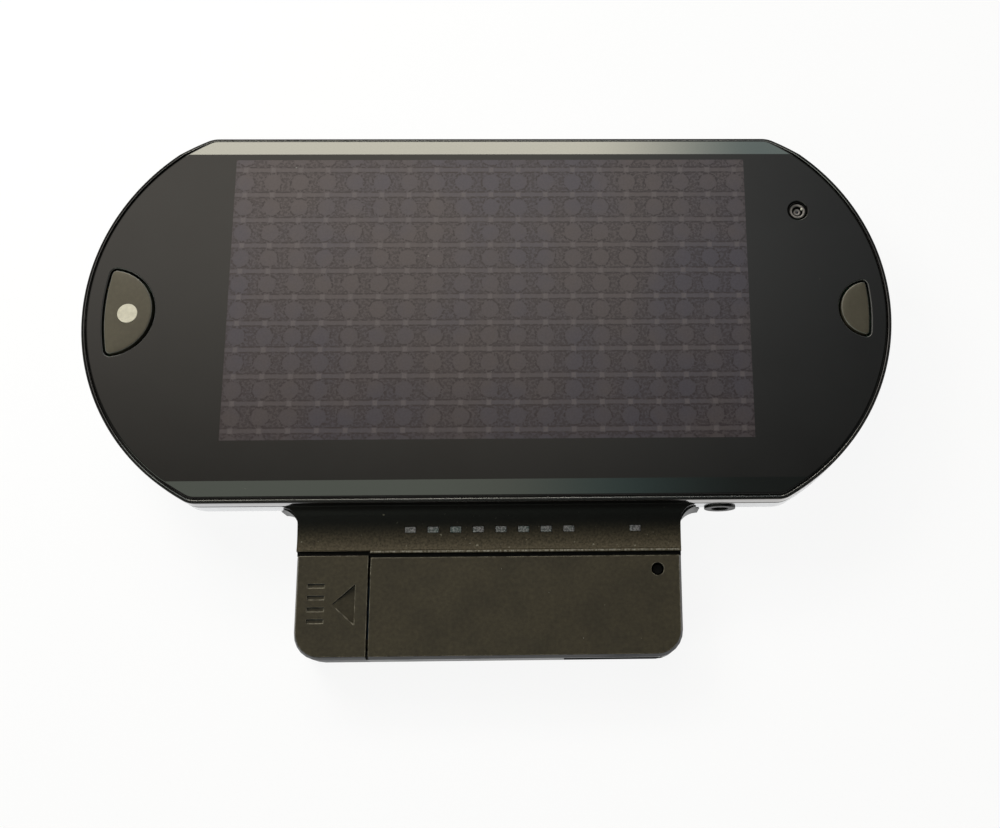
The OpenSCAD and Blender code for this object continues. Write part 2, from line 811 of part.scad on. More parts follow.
module shoulder_pins() color("#9a9c9e") for (s = [-1, 1])
    rod(s * shoulder_pin_x, shoulder_pin_y, shoulder_pin_r, shoulder_z0 - 0.9, under_z);

module shoulder_switches() color("#3a3a3c") for (s = [-1, 1]) {
    box_on(s, switch_x - switch_w / 2, switch_x + switch_w / 2, switch_y, switch_y + switch_t,
        floor_t, shoulder_z1 - 1);
    along_y(s * switch_x, switch_y + switch_t - 0.1, (shoulder_z0 + shoulder_z1) / 2, plunger_r,
        plunger_len);
}

module headphone_jack() color("#101010") difference() {
    union() {
        along_y(jack_x, edge_y - jack_proud, jack_z, jack_collar_d / 2, jack_proud + wall);
        box(jack_x - jack_half, jack_x + jack_half, edge_y + wall, edge_y + jack_back, jack_low,
            under_z - pin_gap);
    }
    along_y(jack_x, edge_y - 1, jack_z, jack_d / 2, jack_back + jack_proud);
}

module rear_screws() color("#777777") for (p = posts)
    screw(p[0], p[1], floor_t - head_t, cover_z - 0.4);

// Module
module console_strip(gap) {
    rotate([90, 0, 90]) translate([0, 0, -far]) linear_extrude(2 * far) union() {
        translate([edge_y - gap, under_r]) square([body_h + 2 * gap, far]);
        translate([edge_y + under_r, -gap]) square([body_h, under_r + gap + 1]);
        translate([edge_y + under_r, under_r]) circle(under_r + gap);
    }
}

module module_block() {
    hull() {
        for (i = [0, lower_chamfer]) translate([0, 0, lower_chamfer - i]) linear_extrude(0.01)
            polygon(module_loop(i, neck_y));
        translate([0, 0, shell_z - 0.01]) linear_extrude(0.01) polygon(module_loop(0, neck_y));
        translate([0, 0, module_t - 0.01]) linear_extrude(0.01)
            polygon(module_loop(module_bevel, neck_y));
    }
}

module neck_block(z0, z1, top) {
    difference() {
        box(-module_w / 2 - neck_r, module_w / 2 + neck_r, neck_y, top, z0, z1);
        for (s = [-1, 1]) {
            rod(s * (module_w / 2 + neck_r), edge_y - neck_r, neck_r, z0 - 1, z1 + 1);
            box_on(s, module_w / 2, far, neck_y - 1, edge_y - neck_r, z0 - 1, z1 + 1);
        }
    }
}

module module_shell() color("#2b2926") difference() {
    union() {
        difference() {
            union() {
                intersection() {
                    module_block();
                    box(-far, far, -far, neck_y + 1, 0, shell_z);
                }
                neck_block(0, shell_z, edge_y + 0.6 * under_r);
            }
            console_strip(0.1);
            box(module_wall - module_w / 2, module_w / 2 - module_wall,
                module_y + module_wall, neck_y, module_wall, module_t);
            box(module_wall - module_w / 2, module_w / 2 - module_wall,
                neck_y + 1.2, edge_y - module_wall, module_wall, module_t);
        }
        box(bulkhead_x, bulkhead_x + bulkhead_t, module_y + 1, neck_y + 0.2, module_wall - 0.2,
            battery_z1);
        for (p = concat(module_posts, neck_posts))
            rod(p[0], p[1], module_post_r, module_wall - 0.2, shell_z);
        for (s = [-1, 1])
            rod(s * standoff_x, neck_posts[0][1], standoff_r, module_wall - 0.2, module_board_z - board_t);
        rod(reset_x, reset_y, reset_r + 0.4, module_wall - 0.2, shell_z - 2);
    }
    box(-far, door_x, -far, neck_y, door_z, module_t);
    for (p = concat(module_posts, neck_posts)) {
        rod(p[0], p[1], screw_r + part_gap, -1, module_t);
        rod(p[0], p[1], head_r + part_gap, -1, module_head_z);
    }
    box(dock_x - dock_w / 2 - part_gap, dock_x + dock_w / 2 + part_gap,
        module_y - 1, module_y + module_wall + 1, dock_z0 - part_gap, dock_z1 + part_gap);
    plug_cut();
}

module light_cut(x, gap, z0, z1) {
    box(x - light_w / 2 - gap, x + light_w / 2 + gap, light_y - light_h / 2 - gap,
        light_y + light_h / 2 + gap, z0, z1);
}

module scoop() {
    rotate([90, 0, 90]) translate([0, 0, -far]) linear_extrude(2 * far)
        polygon([[edge_y, 0], [edge_y, neck_top], [edge_y - 1, neck_top], [edge_y - 4, neck_top - 0.7],
            [neck_y + 1.4, scoop_z], [neck_y + 0.5, scoop_z + 0.4], [neck_y, scoop_z + 0.3],
            [neck_y, 0]]);
}

module neck_cover() color("#171615") difference() {
    union() {
        intersection() {
            neck_block(shell_z, deck_t, edge_y - part_gap);
            scoop();
        }
        box(-module_w / 2, module_w / 2, neck_y - groove_w, neck_y + groove_w, shell_z, shell_z + groove_t);
    }
    for (k = [-3.5 : 3.5]) light_cut(k * light_pitch, 0.05, 0, deck_t);
    light_cut(charge_x, 0.05, 0, deck_t);
    for (p = neck_posts) rod(p[0], p[1], screw_r + screw_gap, 0, shell_z + 0.6);
}

module module_plate() color("#3a3832") difference() {
    intersection() {
        module_block();
        box(door_x + door_seam, far, -far, plate_y, shell_z, module_t);
    }
    rod(reset_x, reset_y, reset_hole, 0, module_t + 1);
    for (p = module_posts) rod(p[0], p[1], screw_r + screw_gap, 0, shell_z + 0.8);
}

// Ramp down from the arrow's tip to its base
module arrow_cut() {
    intersection() {
        translate([0, 0, -2 * arrow_depth]) linear_extrude(4 * arrow_depth)
            polygon([[0, 0], [arrow_w, -arrow_h / 2], [arrow_w, arrow_h / 2]]);
        rotate([0, atan2(arrow_depth, arrow_w), 0]) box(-1, 2 * arrow_w, -arrow_h, arrow_h, 0, arrow_w);
    }
}

module battery_door() color("#3a3832") {
    difference() {
        intersection() {
            module_block();
            box(-far, door_x, -far, door_top, door_z + 0.2, module_t);
        }
        box(door_wall - module_w / 2, door_x + 1, module_y + door_wall, door_y - door_wall, 0, shell_z);
        translate([arrow_x, arrow_y, module_t]) arrow_cut();
        for (k = [0 : 3]) box(grip_x, grip_x + grip_w, grip_y - grip_pitch * k,
            grip_y - grip_pitch * k + grip_h, module_t - grip_depth, module_t + 1);
    }
    for (y = [module_y + module_wall + 0.8, door_y - 2 * door_wall]) {
        box(door_x - 3, door_x - 0.2, y, y + tongue_w, shell_z - door_gap - tongue_t, shell_z + 0.2);
        box(door_x - 3, door_x + door_travel + 3, y, y + tongue_w, shell_z - door_gap - tongue_t,
            shell_z - door_gap);
    }
}

module light_pipe(x) {
    intersection() {
        light_cut(x, 0, module_board_z, deck_t);
        translate([0, 0, -0.06]) scoop();
    }
}

module status_windows() color("#8f8f94") for (k = [-3.5 : 3.5]) light_pipe(k * light_pitch);

module charge_window() color("#9a948a") light_pipe(charge_x);

module module_board() color("#23492f") difference() {
    box(-module_board_half, module_board_half, neck_y + 1.5, edge_y - module_wall - 0.3,
        module_board_z - board_t, module_board_z);
    for (p = neck_posts) rod(p[0], p[1], module_post_r + 0.4, 0, module_t);
}

module battery() color("#4c5663") box(door_wall + battery_in - module_w / 2 - 0.2, battery_x1,
    module_y + 3, door_y - door_wall, battery_z0, battery_z1);

module battery_contacts() color("#c8a24a") for (y = [module_y + contact_y, neck_y - contact_y])
    box(battery_x1 + 0.2, bulkhead_x, y - contact_w / 2, y + contact_w / 2, battery_z0 + 0.6,
        battery_z1 - 0.6);

module reset_button() color("#1b1b1b") {
    rod(reset_x, reset_y, reset_r, shell_z - 1.4, shell_z + 0.5);
    rod(reset_x, reset_y, reset_r + reset_flange, shell_z - 1.4, shell_z - 0.7);
}

module dock_port() color("#b4b6b8") difference() {
    box(dock_x - dock_w / 2, dock_x + dock_w / 2, module_y + dock_in, module_y + dock_in + dock_depth,
        dock_z0, dock_z1);
    box(dock_x - dock_w / 2 + dock_wall, dock_x + dock_w / 2 - dock_wall, module_y - 1,
        dock_back, dock_z0 + dock_wall, dock_z1 - dock_wall);
}

module dock_contacts() color("#c8a24a") for (k = [-4 : 4]) translate([dock_x + dock_pitch * k, 0, 0])
    box(-dock_pin / 2, dock_pin / 2, dock_back - 0.5, dock_back, dock_z0 + 2 * dock_wall + 0.1,
        dock_z1 - 2 * dock_wall - 0.1);

module expansion_plug() color("#1f1f20") box(-plug_half, plug_half, edge_y - plug_out,
    edge_y + wall + plug_in, module_board_z, module_board_z + plug_t);

module module_screws() color("#777777") {
    for (p = module_posts) screw(p[0], p[1], module_head_z - head_t, shell_z + 0.7);
    for (p = neck_posts) screw(p[0], p[1], module_head_z - head_t, shell_z + 0.5);
}

screen_frame();
front_bezel();
front_glass();
touch_sensor();
display_panel();
screen_chassis();
camera_module();
camera_lens();
home_key();
home_dot();
power_key();
key_boards();
slide_carriage();
carriage_screws();
rear_shell();
deck_cover();
slide_frame();
main_board();
processor_shield();
board_chips();
speakers();
control_board();
button_pads();
dpad_saddle();
dpad_rocker();
dpad();
nub_bases();
nub_slider_left();
nub_slider_right();
nub_left();
nub_right();
button_north();
button_east();
button_south();
button_west();
start_key();
select_key();
shoulder_left();
shoulder_right();
shoulder_pins();
shoulder_switches();
headphone_jack();
rear_screws();
module_shell();
neck_cover();
module_plate();
battery_door();
status_windows();
charge_window();
module_board();
battery();
battery_contacts();
reset_button();
dock_port();
dock_contacts();
expansion_plug();
module_screws();
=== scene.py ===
import json
import math

import bmesh
import bpy
from mathutils import Matrix, Vector


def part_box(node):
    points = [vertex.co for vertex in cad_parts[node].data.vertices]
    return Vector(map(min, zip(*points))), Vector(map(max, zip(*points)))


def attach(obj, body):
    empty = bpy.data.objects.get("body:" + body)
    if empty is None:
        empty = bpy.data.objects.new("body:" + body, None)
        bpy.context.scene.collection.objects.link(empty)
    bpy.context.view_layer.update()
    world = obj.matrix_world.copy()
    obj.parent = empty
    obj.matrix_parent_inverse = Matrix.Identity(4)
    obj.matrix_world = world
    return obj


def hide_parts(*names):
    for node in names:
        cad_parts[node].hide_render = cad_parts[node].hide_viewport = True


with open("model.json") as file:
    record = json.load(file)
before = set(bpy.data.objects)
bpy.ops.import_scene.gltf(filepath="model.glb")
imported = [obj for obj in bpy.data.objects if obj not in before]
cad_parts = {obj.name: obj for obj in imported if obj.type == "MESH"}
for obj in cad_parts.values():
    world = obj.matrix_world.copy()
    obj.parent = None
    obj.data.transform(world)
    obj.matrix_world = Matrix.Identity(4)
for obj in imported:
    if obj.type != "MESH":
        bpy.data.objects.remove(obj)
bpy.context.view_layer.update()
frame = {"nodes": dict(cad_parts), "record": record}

scene = bpy.context.scene
scene.view_settings.view_transform = "Standard"
mm = 0.001  # all the sizes below are in millimetres


def grey(level):
    return (level, level, level)


def newPiece(name, bm):
    bmesh.ops.recalc_face_normals(bm, faces=bm.faces)
    mesh = bpy.data.meshes.new(name)
    bm.to_mesh(mesh)
    bm.free()
    piece = bpy.data.objects.new(name, mesh)
    scene.collection.objects.link(piece)
    return piece


def dress(piece, body, slotName, material, *stoodFor):
    piece.data.materials.clear()
    piece.data.materials.append(material)
    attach(piece, body)
    if stoodFor:
        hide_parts(*stoodFor)
    return piece


def boxOf(node):  # a node's corners in millimetres
    return [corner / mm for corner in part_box(node)]


def middleOf(node):
    low, high = boxOf(node)
    return (low.x + high.x) / 2, (low.y + high.y) / 2


def addLoop(bm, points):
    return [bm.verts.new((x * mm, y * mm, z * mm)) for x, y, z in points]


def bridge(bm, low, high):
    count = len(low)
    for i in range(count):
        j = (i + 1) % count
        bm.faces.new((low[i], low[j], high[j], high[i])).smooth = True


def stackLoops(bm, loops):
    for low, high in zip(loops, loops[1:]):
        bridge(bm, low, high)


def closeEnds(bm, loops):
    for loop in (loops[0], loops[-1]):
        bm.faces.new(loop).smooth = False


def stackSolid(bm, loops):
    stackLoops(bm, loops)
    closeEnds(bm, loops)


def loopEdges(bm, loop):
    pairs = zip(loop, loop[1:] + loop[:1])
    return [bm.edges.get(p) or bm.edges.new(p) for p in pairs]


def fillFlat(bm, *loops):
    edges = [e for loop in loops for e in loopEdges(bm, loop)]
    made = bmesh.ops.triangle_fill(bm, use_beauty=True, edges=edges)
    for item in made["geom"]:
        if isinstance(item, bmesh.types.BMFace):
            item.smooth = False


def circlePoints(cx, cy, r, z, steps=48):
    turns = [2 * math.pi * k / steps for k in range(steps)]
    return [(cx + r * math.cos(t), cy + r * math.sin(t), z) for t in turns]


def latheUp(bm, cx, cy, profile, steps=48):
    loops = [addLoop(bm, circlePoints(cx, cy, r, z, steps)) for r, z in profile]
    stackSolid(bm, loops)


def latheRing(bm, cx, cy, profile, steps=64):
    loops = [addLoop(bm, circlePoints(cx, cy, r, z, steps)) for r, z in profile]
    stackLoops(bm, loops + loops[:1])


def roundCorners(corners, radius, steps=5):
    loop = []
    for i, corner in enumerate(corners):
        p = Vector(corner)
        a = (Vector(corners[i - 1]) - p).normalized()
        b = (Vector(corners[(i + 1) % len(corners)]) - p).normalized()
        half = a.angle(b) / 2
        middle = p + (a + b).normalized() * (radius / math.sin(half))
        start = p + a * (radius / math.tan(half)) - middle
        end = p + b * (radius / math.tan(half)) - middle
        first = math.atan2(start.y, start.x)
        sweep = math.atan2(start.x * end.y - start.y * end.x, start.dot(end))
        for k in range(steps + 1):
            turn = first + sweep * k / steps
            loop.append((middle.x + radius * math.cos(turn), middle.y + radius * math.sin(turn)))
    return loop


def smoothGroup():
    group = bpy.data.node_groups.new("smoothByAngle", "GeometryNodeTree")
    face = group.interface
    face.new_socket("Geometry", in_out="INPUT", socket_type="NodeSocketGeometry")
    face.new_socket("Angle", in_out="INPUT", socket_type="NodeSocketFloat")
    face.new_socket("Geometry", in_out="OUTPUT", socket_type="NodeSocketGeometry")
    start, end = group.nodes.new("NodeGroupInput"), group.nodes.new("NodeGroupOutput")
    allSmooth = group.nodes.new("GeometryNodeSetShadeSmooth")
    sharp = group.nodes.new("GeometryNodeSetShadeSmooth")
    sharp.domain = "EDGE"
    sharp.inputs["Shade Smooth"].default_value = False
    angle = group.nodes.new("GeometryNodeInputMeshEdgeAngle")
    steep = group.nodes.new("FunctionNodeCompare")
    group.links.new(start.outputs["Geometry"], allSmooth.inputs["Geometry"])
    group.links.new(allSmooth.outputs[0], sharp.inputs["Geometry"])
    group.links.new(angle.outputs["Unsigned Angle"], steep.inputs[0])
    group.links.new(start.outputs["Angle"], steep.inputs[1])
    group.links.new(steep.outputs[0], sharp.inputs["Selection"])
    group.links.new(sharp.outputs[0], end.inputs[0])
    return group


smoothNodes = smoothGroup()


def softenEdges(piece, width=0.15, bevelAngle=40, segments=2, smoothAngle=32):
    weld = piece.modifiers.new("weld", "WELD")
    weld.merge_threshold = 0.000002
    flat = piece.modifiers.new("flat", "DECIMATE")
    flat.decimate_type = "DISSOLVE"
    flat.angle_limit = math.radians(0.3)
    if width:
        bevel = piece.modifiers.new("bevel", "BEVEL")
        bevel.limit_method = "ANGLE"
        bevel.angle_limit = math.radians(bevelAngle)
        bevel.width = width * mm
        bevel.segments = segments
    smooth = piece.modifiers.new("smooth", "NODES")
    smooth.node_group = smoothNodes
    smooth["Socket_1"] = math.radians(smoothAngle)
    even = piece.modifiers.new("even", "WEIGHTED_NORMAL")
    even.keep_sharp = True
    return piece


def shapedPiece(name, bm, angle=50):  # its rounded edges are in its loops already
    return softenEdges(newPiece(name, bm), 0, smoothAngle=angle)


def addNode(tree, kind, values=None, **settings):
    node = tree.nodes.new("ShaderNode" + kind)
    for key, value in settings.items():
        setattr(node, key, value)
    for key, value in (values or {}).items():
        setInput(tree, node.inputs[key], value)
    return node


def setInput(tree, socket, value):
    if isinstance(value, bpy.types.NodeSocket):
        tree.links.new(value, socket)
    elif isinstance(value, (tuple, list)) and len(value) == 3 and socket.type == "RGBA":
        socket.default_value = (*value, 1)
    else:
        socket.default_value = value


def calc(tree, operation, a, b=0.0, c=0.0):
    node = addNode(tree, "Math", {0: a, 1: b, 2: c}, operation=operation)
    return node.outputs[0]


def product(tree, first, *others):
    for other in others:
        first = calc(tree, "MULTIPLY", first, other)
    return first


def apartFrom(tree, a, b):
    return calc(tree, "ABSOLUTE", calc(tree, "SUBTRACT", a, b))


def hypotenuse(tree, a, b):
    return calc(tree, "SQRT", calc(tree, "ADD", calc(tree, "POWER", a, 2.0), calc(tree, "POWER", b, 2.0)))


def blendColours(tree, factor, a, b, blend="MIX"):
    node = addNode(tree, "Mix", {0: factor, 6: a, 7: b}, data_type="RGBA", blend_type=blend)
    return node.outputs[2]


def shaded(tree, colour, value):
    return blendColours(tree, 1.0, colour, value, "MULTIPLY")


def stretch(tree, value, low, high, toLow=0.0, toHigh=1.0, smooth=True):
    kind = "SMOOTHSTEP" if smooth else "LINEAR"
    node = addNode(tree, "MapRange", {0: value, 1: low, 2: high, 3: toLow, 4: toHigh},
                   interpolation_type=kind)
    return node.outputs[0]


def scaled(tree, place, factors):
    return addNode(tree, "VectorMath", {0: place, 1: factors}, operation="MULTIPLY").outputs[0]


def axes(tree, vector):
    return addNode(tree, "SeparateXYZ", {0: vector}).outputs


def millimetres(tree):
    place = addNode(tree, "TexCoord").outputs["Object"]
    return scaled(tree, place, (1000, 1000, 1000))


def noise(tree, place, scale, detail=3.0, rough=0.55):
    node = addNode(tree, "TexNoise", {"Vector": place, "Scale": scale, "Detail": detail, "Roughness": rough})
    return node.outputs["Fac"]


def newGroup(name, inputs, outputs):
    group = bpy.data.node_groups.new(name, "ShaderNodeTree")
    for label, kind, value in inputs:
        socket = group.interface.new_socket(label, in_out="INPUT", socket_type="NodeSocket" + kind)
        socket.default_value = (*value, 1) if kind == "Color" else value
    for label, kind in outputs:
        group.interface.new_socket(label, in_out="OUTPUT", socket_type="NodeSocket" + kind)
    start, end = group.nodes.new("NodeGroupInput"), group.nodes.new("NodeGroupOutput")
    return group, start.outputs, end.inputs


def useGroup(tree, group, values):
    node = tree.nodes.new("ShaderNodeGroup")
    node.node_tree = group
    for key, value in values.items():
        setInput(tree, node.inputs[key], value)
    return node.outputs


def makeGrain():  # fine spark-eroded mould texture
    group, start, end = newGroup("mouldGrain", [("Size", "Float", 0.25)], [("Height", "Float")])
    place = millimetres(group)
    scale = calc(group, "DIVIDE", 1.0, start["Size"])
    cells = addNode(group, "TexVoronoi", {"Vector": place, "Scale": scale}, feature="SMOOTH_F1")
    fine = noise(group, place, product(group, scale, 1.7), 2)
    setInput(group, end["Height"], calc(group, "MULTIPLY_ADD", cells.outputs["Distance"], 0.6, fine))
    return group


def makeDrift():  # slow change between two tones
    sockets = [("Tone", "Color", grey(0.1)), ("Other", "Color", grey(0.1)), ("Size", "Float", 12.0)]
    group, start, end = newGroup("toneDrift", sockets, [("Color", "Color")])
    broad = noise(group, millimetres(group), calc(group, "DIVIDE", 1.0, start["Size"]), 4, 0.6)
    mask = stretch(group, broad, 0.36, 0.66)
    setInput(group, end["Color"], blendColours(group, mask, start["Tone"], start["Other"]))
    return group


def makeDust():  # few small specks, some of them bent to fibres
    sockets = [("Spacing", "Float", 4.0), ("Size", "Float", 0.1), ("Share", "Float", 0.4)]
    group, start, end = newGroup("dustSpecks", sockets, [("Mask", "Float")])
    place = millimetres(group)
    warp = noise(group, place, 1.3, 1)
    bent = addNode(group, "VectorMath", {0: place, 1: warp}, operation="ADD").outputs[0]
    scale = calc(group, "DIVIDE", 1.0, start["Spacing"])
    cells = addNode(group, "TexVoronoi", {"Vector": bent, "Scale": scale})
    reach = product(group, cells.outputs["Distance"], start["Spacing"])
    pick = addNode(group, "SeparateColor", {0: cells.outputs["Color"]}).outputs
    size = product(group, start["Size"], calc(group, "MULTIPLY_ADD", pick[1], 1.2, 0.4))
    dot = calc(group, "LESS_THAN", reach, size)
    chosen = calc(group, "LESS_THAN", pick[0], start["Share"])
    setInput(group, end["Mask"], product(group, dot, chosen))
    return group


def makeWearAndHighlight():  # rubbed edges mixed with painted highlights: where the rounded normal leaves the face's own, kept off edges that face the front
    sockets = [("Amount", "Float", 1.0), ("Patch", "Float", 1.5)]
    group, start, end = newGroup("edgeWearAndHighlight", sockets, [("Mask", "Float"), ("Front", "Float")])
    own = addNode(group, "NewGeometry").outputs["Normal"]
    rounded = addNode(group, "Bevel", {"Radius": 0.0003}, samples=4).outputs[0]
    same = addNode(group, "VectorMath", {0: own, 1: rounded}, operation="DOT_PRODUCT").outputs["Value"]
    edge = stretch(group, same, 0.995, 0.86)
    patchy = noise(group, millimetres(group), calc(group, "DIVIDE", 1.0, start["Patch"]), 3)
    backward = axes(group, own)[1]
    # painted highlight: the pale edge is kept off edges that face the front, so it shows where light catches
    rubbedAndHighlit = product(group, edge, stretch(group, patchy, 0.3, 0.6), stretch(group, backward, -0.2, 0.1))
    setInput(group, end["Mask"], product(group, rubbedAndHighlit, start["Amount"]))
    # painted shade mask: faces that turn to the front
    setInput(group, end["Front"], stretch(group, backward, -0.03, -0.15))
    return group


def makeSmudge():  # finger marks that dull a gloss
    sockets = [("Size", "Float", 14.0), ("Strength", "Float", 0.1)]
    group, start, end = newGroup("smudges", sockets, [("Value", "Float")])
    place = millimetres(group)
    blot = noise(group, place, calc(group, "DIVIDE", 1.0, start["Size"]), 5, 0.62)
    streak = noise(group, scaled(group, place, (0.9, 0.12, 0.5)), 0.8, 3)
    mark = product(group, stretch(group, blot, 0.45, 0.75), calc(group, "ADD", streak, 0.35))
    setInput(group, end["Value"], product(group, mark, start["Strength"]))
    return group


grain, drift, dust, wear, smudge = makeGrain(), makeDrift(), makeDust(), makeWearAndHighlight(), makeSmudge()


def twoTones(tree, tone, other, size):
    return useGroup(tree, drift, {"Tone": tone, "Other": other, "Size": size})["Color"]


def newMaterial(name):
    material = bpy.data.materials.new(name)
    material.use_nodes = True
    tree = material.node_tree
    return material, tree, tree.nodes["Principled BSDF"]


def setSurface(tree, shader, colour, rough):
    setInput(tree, shader.inputs["Base Color"], colour)
    setInput(tree, shader.inputs["Roughness"], rough)


def bumpFrom(tree, shader, height, depth):
    bump = addNode(tree, "Bump", {"Height": height, "Distance": depth * mm, "Strength": 1.0})
    tree.links.new(bump.outputs[0], shader.inputs["Normal"])


def edgeHighlightMask(tree, low, high):  # where painted edge highlights go: rounded edges, by how far they lean from level
    upward = axes(tree, addNode(tree, "NewGeometry").outputs["Normal"])[2]
    return product(tree, stretch(tree, upward, high, high - 0.15), stretch(tree, upward, low, low + 0.2))


def mouldedPlastic(name, look):
    material, tree, shader = newMaterial(name)
    tones = twoTones(tree, look["tone"], look["other"], look.get("drift", 12.0))
    edges = useGroup(tree, wear, {"Amount": look.get("wear", 0.5)})
    specks = useGroup(tree, dust, {"Spacing": look.get("speckGap", 4.0), "Share": look.get("specks", 0.25),
                                   "Size": look.get("speck", 0.09)})["Mask"]
    # pale edges: partly wear, partly a painted highlight
    paler = blendColours(tree, edges["Mask"], tones, look.get("wornAndHighlight", (0.2, 0.2, 0.19)))
    amount = look.get("mottle", 0.12)
    blotch = noise(tree, millimetres(tree), 1.2, 4, 0.65)
    mottled = stretch(tree, blotch, 0.25, 0.75, 1 - amount, 1 + amount, False)
    paler = shaded(tree, paler, mottled)
    # painted shade: faces that turn to the front are darkened
    if "seam" in look:
        paler = blendColours(tree, edges["Front"], paler, look["seam"])
    # painted highlight: rounded edges that lean from level take the rim colour
    if "rim" in look:
        paler = blendColours(tree, edgeHighlightMask(tree, 0.3, 0.93), paler, look["rim"])
    dusty = product(tree, specks, 0.6)
    colour = blendColours(tree, dusty, paler, look.get("dust", (0.35, 0.34, 0.32)))
    marks = useGroup(tree, smudge, {"Strength": look.get("smudge", 0.1)})["Value"]
    rough = calc(tree, "ADD", marks, look["rough"])
    setSurface(tree, shader, colour, calc(tree, "MULTIPLY_ADD", specks, 0.3, rough))
    shader.inputs["Metallic"].default_value = look.get("metal", 0.0)
    shader.inputs["Specular IOR Level"].default_value = look.get("gloss", 0.5)
    height = useGroup(tree, grain, {"Size": look.get("grain", 0.25)})["Height"]
    bumpFrom(tree, shader, height, look.get("depth", 0.01))
    return material


def brushedMetal(name, look):
    material, tree, shader = newMaterial(name)
    tones = twoTones(tree, look["tone"], look["other"], look.get("drift", 9.0))
    along = scaled(tree, millimetres(tree), look.get("brush", (0.15, 6.0, 3.0)))
    lines = noise(tree, along, 1.6, 4, 0.7)
    rubbedAndHighlit = useGroup(tree, wear, {"Amount": look.get("wear", 0.4)})["Mask"]
    colour = blendColours(tree, product(tree, lines, 0.35), tones, look["dark"])
    colour = blendColours(tree, rubbedAndHighlit, colour, look.get("wornAndHighlight", (0.85, 0.85, 0.84)))
    setInput(tree, shader.inputs["Base Color"], colour)
    shader.inputs["Metallic"].default_value = 1.0
    setInput(tree, shader.inputs["Roughness"], calc(tree, "MULTIPLY_ADD", lines, 0.22, look["rough"]))
    bumpFrom(tree, shader, lines, look.get("depth", 0.006))
    return material


print("helpers and shared effects ready")

# the body outline that glass, rim and tray follow
bodyShape = dict(endOver=5.2, cornerR=5.0, cornerMin=0.4, crease=36.2, slopeDeg=16.0,
                 endSteps=40, cornerSteps=8, topSteps=10)
trayHigh = boxOf("screen_frame")[1]
glassLow, glassHigh = boxOf("front_glass")
halfW, halfH = trayHigh.x, trayHigh.y
endR = halfH + bodyShape["endOver"]
endX = halfW - endR


def bodyOutline(inset):
    s = bodyShape
    r = endR - inset
    cornerR = max(s["cornerR"] - inset, s["cornerMin"])
    cornerY = halfH - inset - cornerR
    reach = r - cornerR
    turn = math.asin(cornerY / reach)
    cornerX = endX + reach * math.cos(turn)
    crease = min(math.asin(s["crease"] / r), turn - 0.004)
    angles = [crease * k / s["endSteps"] for k in range(s["endSteps"] + 1)]
    angles += [crease + (turn - crease) * k / 4 for k in range(1, 5)]
    quarter = [(endX + r * math.cos(a), r * math.sin(a)) for a in angles]
    for k in range(1, s["cornerSteps"] + 1):
        a = turn + (math.pi / 2 - turn) * k / s["cornerSteps"]
        quarter.append((cornerX + cornerR * math.cos(a), cornerY + cornerR * math.sin(a)))
    for k in range(1, s["topSteps"] + 1):
        quarter.append((cornerX * (1 - k / s["topSteps"]), halfH - inset))
    upper = quarter + [(-x, y) for x, y in quarter[-2::-1]]
    return upper + [(x, -y) for x, y in upper[-2:0:-1]]


def topAt(y):  # height of the glass plane: flat, then a slope along each straight edge
    over = max(0.0, abs(y) - bodyShape["crease"])
    return glassHigh.z - over * math.tan(math.radians(bodyShape["slopeDeg"]))


def levelLoop(bm, inset, z):
    return addLoop(bm, [(x, y, z) for x, y in bodyOutline(inset)])


def edgeLoop(bm, inset, drop):  # keeps its depth under the glass plane
    return addLoop(bm, [(x, y, topAt(y) - drop) for x, y in bodyOutline(inset)])


def keyLoop(side, key, shrink, steps=20):
    bigR, smallR = endR - key["edge"] - shrink, key["r"] - shrink
    f = max(key["corner"] - shrink, key["cornerMin"])
    ax, bx, by = endX, key["cx"], key["cy"]
    ra, rb = bigR - f, smallR - f
    gap = math.hypot(bx - ax, by)
    along = (ra * ra - rb * rb + gap * gap) / (2 * gap)
    off = math.sqrt(ra * ra - along * along)
    ux, uy = (bx - ax) / gap, by / gap
    up = (ax + ux * along - uy * off, uy * along + ux * off)
    down = (ax + ux * along + uy * off, uy * along - ux * off)
    aUp, aDown = math.atan2(up[1], up[0] - ax), math.atan2(down[1], down[0] - ax)
    bUp = math.atan2(up[1] - by, up[0] - bx)
    bDown = math.atan2(down[1] - by, down[0] - bx) + 2 * math.pi

    def arc(cx, cy, r, a0, a1):
        turns = [a0 + (a1 - a0) * k / steps for k in range(steps)]
        return [(cx + r * math.cos(t), cy + r * math.sin(t)) for t in turns]

    loop = arc(ax, 0, bigR, aDown, aUp) + arc(*up, f, aUp, bUp)
    loop += arc(bx, by, smallR, bUp, bDown) + arc(*down, f, bDown, aDown + 2 * math.pi)
    return loop if side > 0 else [(-x, y) for x, y in loop[::-1]]


homeKey = dict(edge=4.3, r=9.8, cx=80.13, cy=0.2, corner=1.5, cornerMin=0.35, gap=0.5, lift=0.4, crown=1.0)
powerKey = dict(edge=4.3, r=6.45, cx=80.80, cy=0.35, corner=1.2, cornerMin=0.35, gap=0.5, lift=0.3, crown=0.6)
cameraPlace = dict(x=66.7, y=22.8, hole=2.1)

# cover glass: one sheet, its edge rounded over
glassShape = dict(inset=1.05, reach=0.42,
                  edge=[(0, 0.5), (0, 0.3), (0.03, 0.19), (0.09, 0.09), (0.19, 0.03), (0.32, 0)],
                  hole=[(0, 0.34), (0.05, 0.14), (0.13, 0.04), (0.24, 0)])


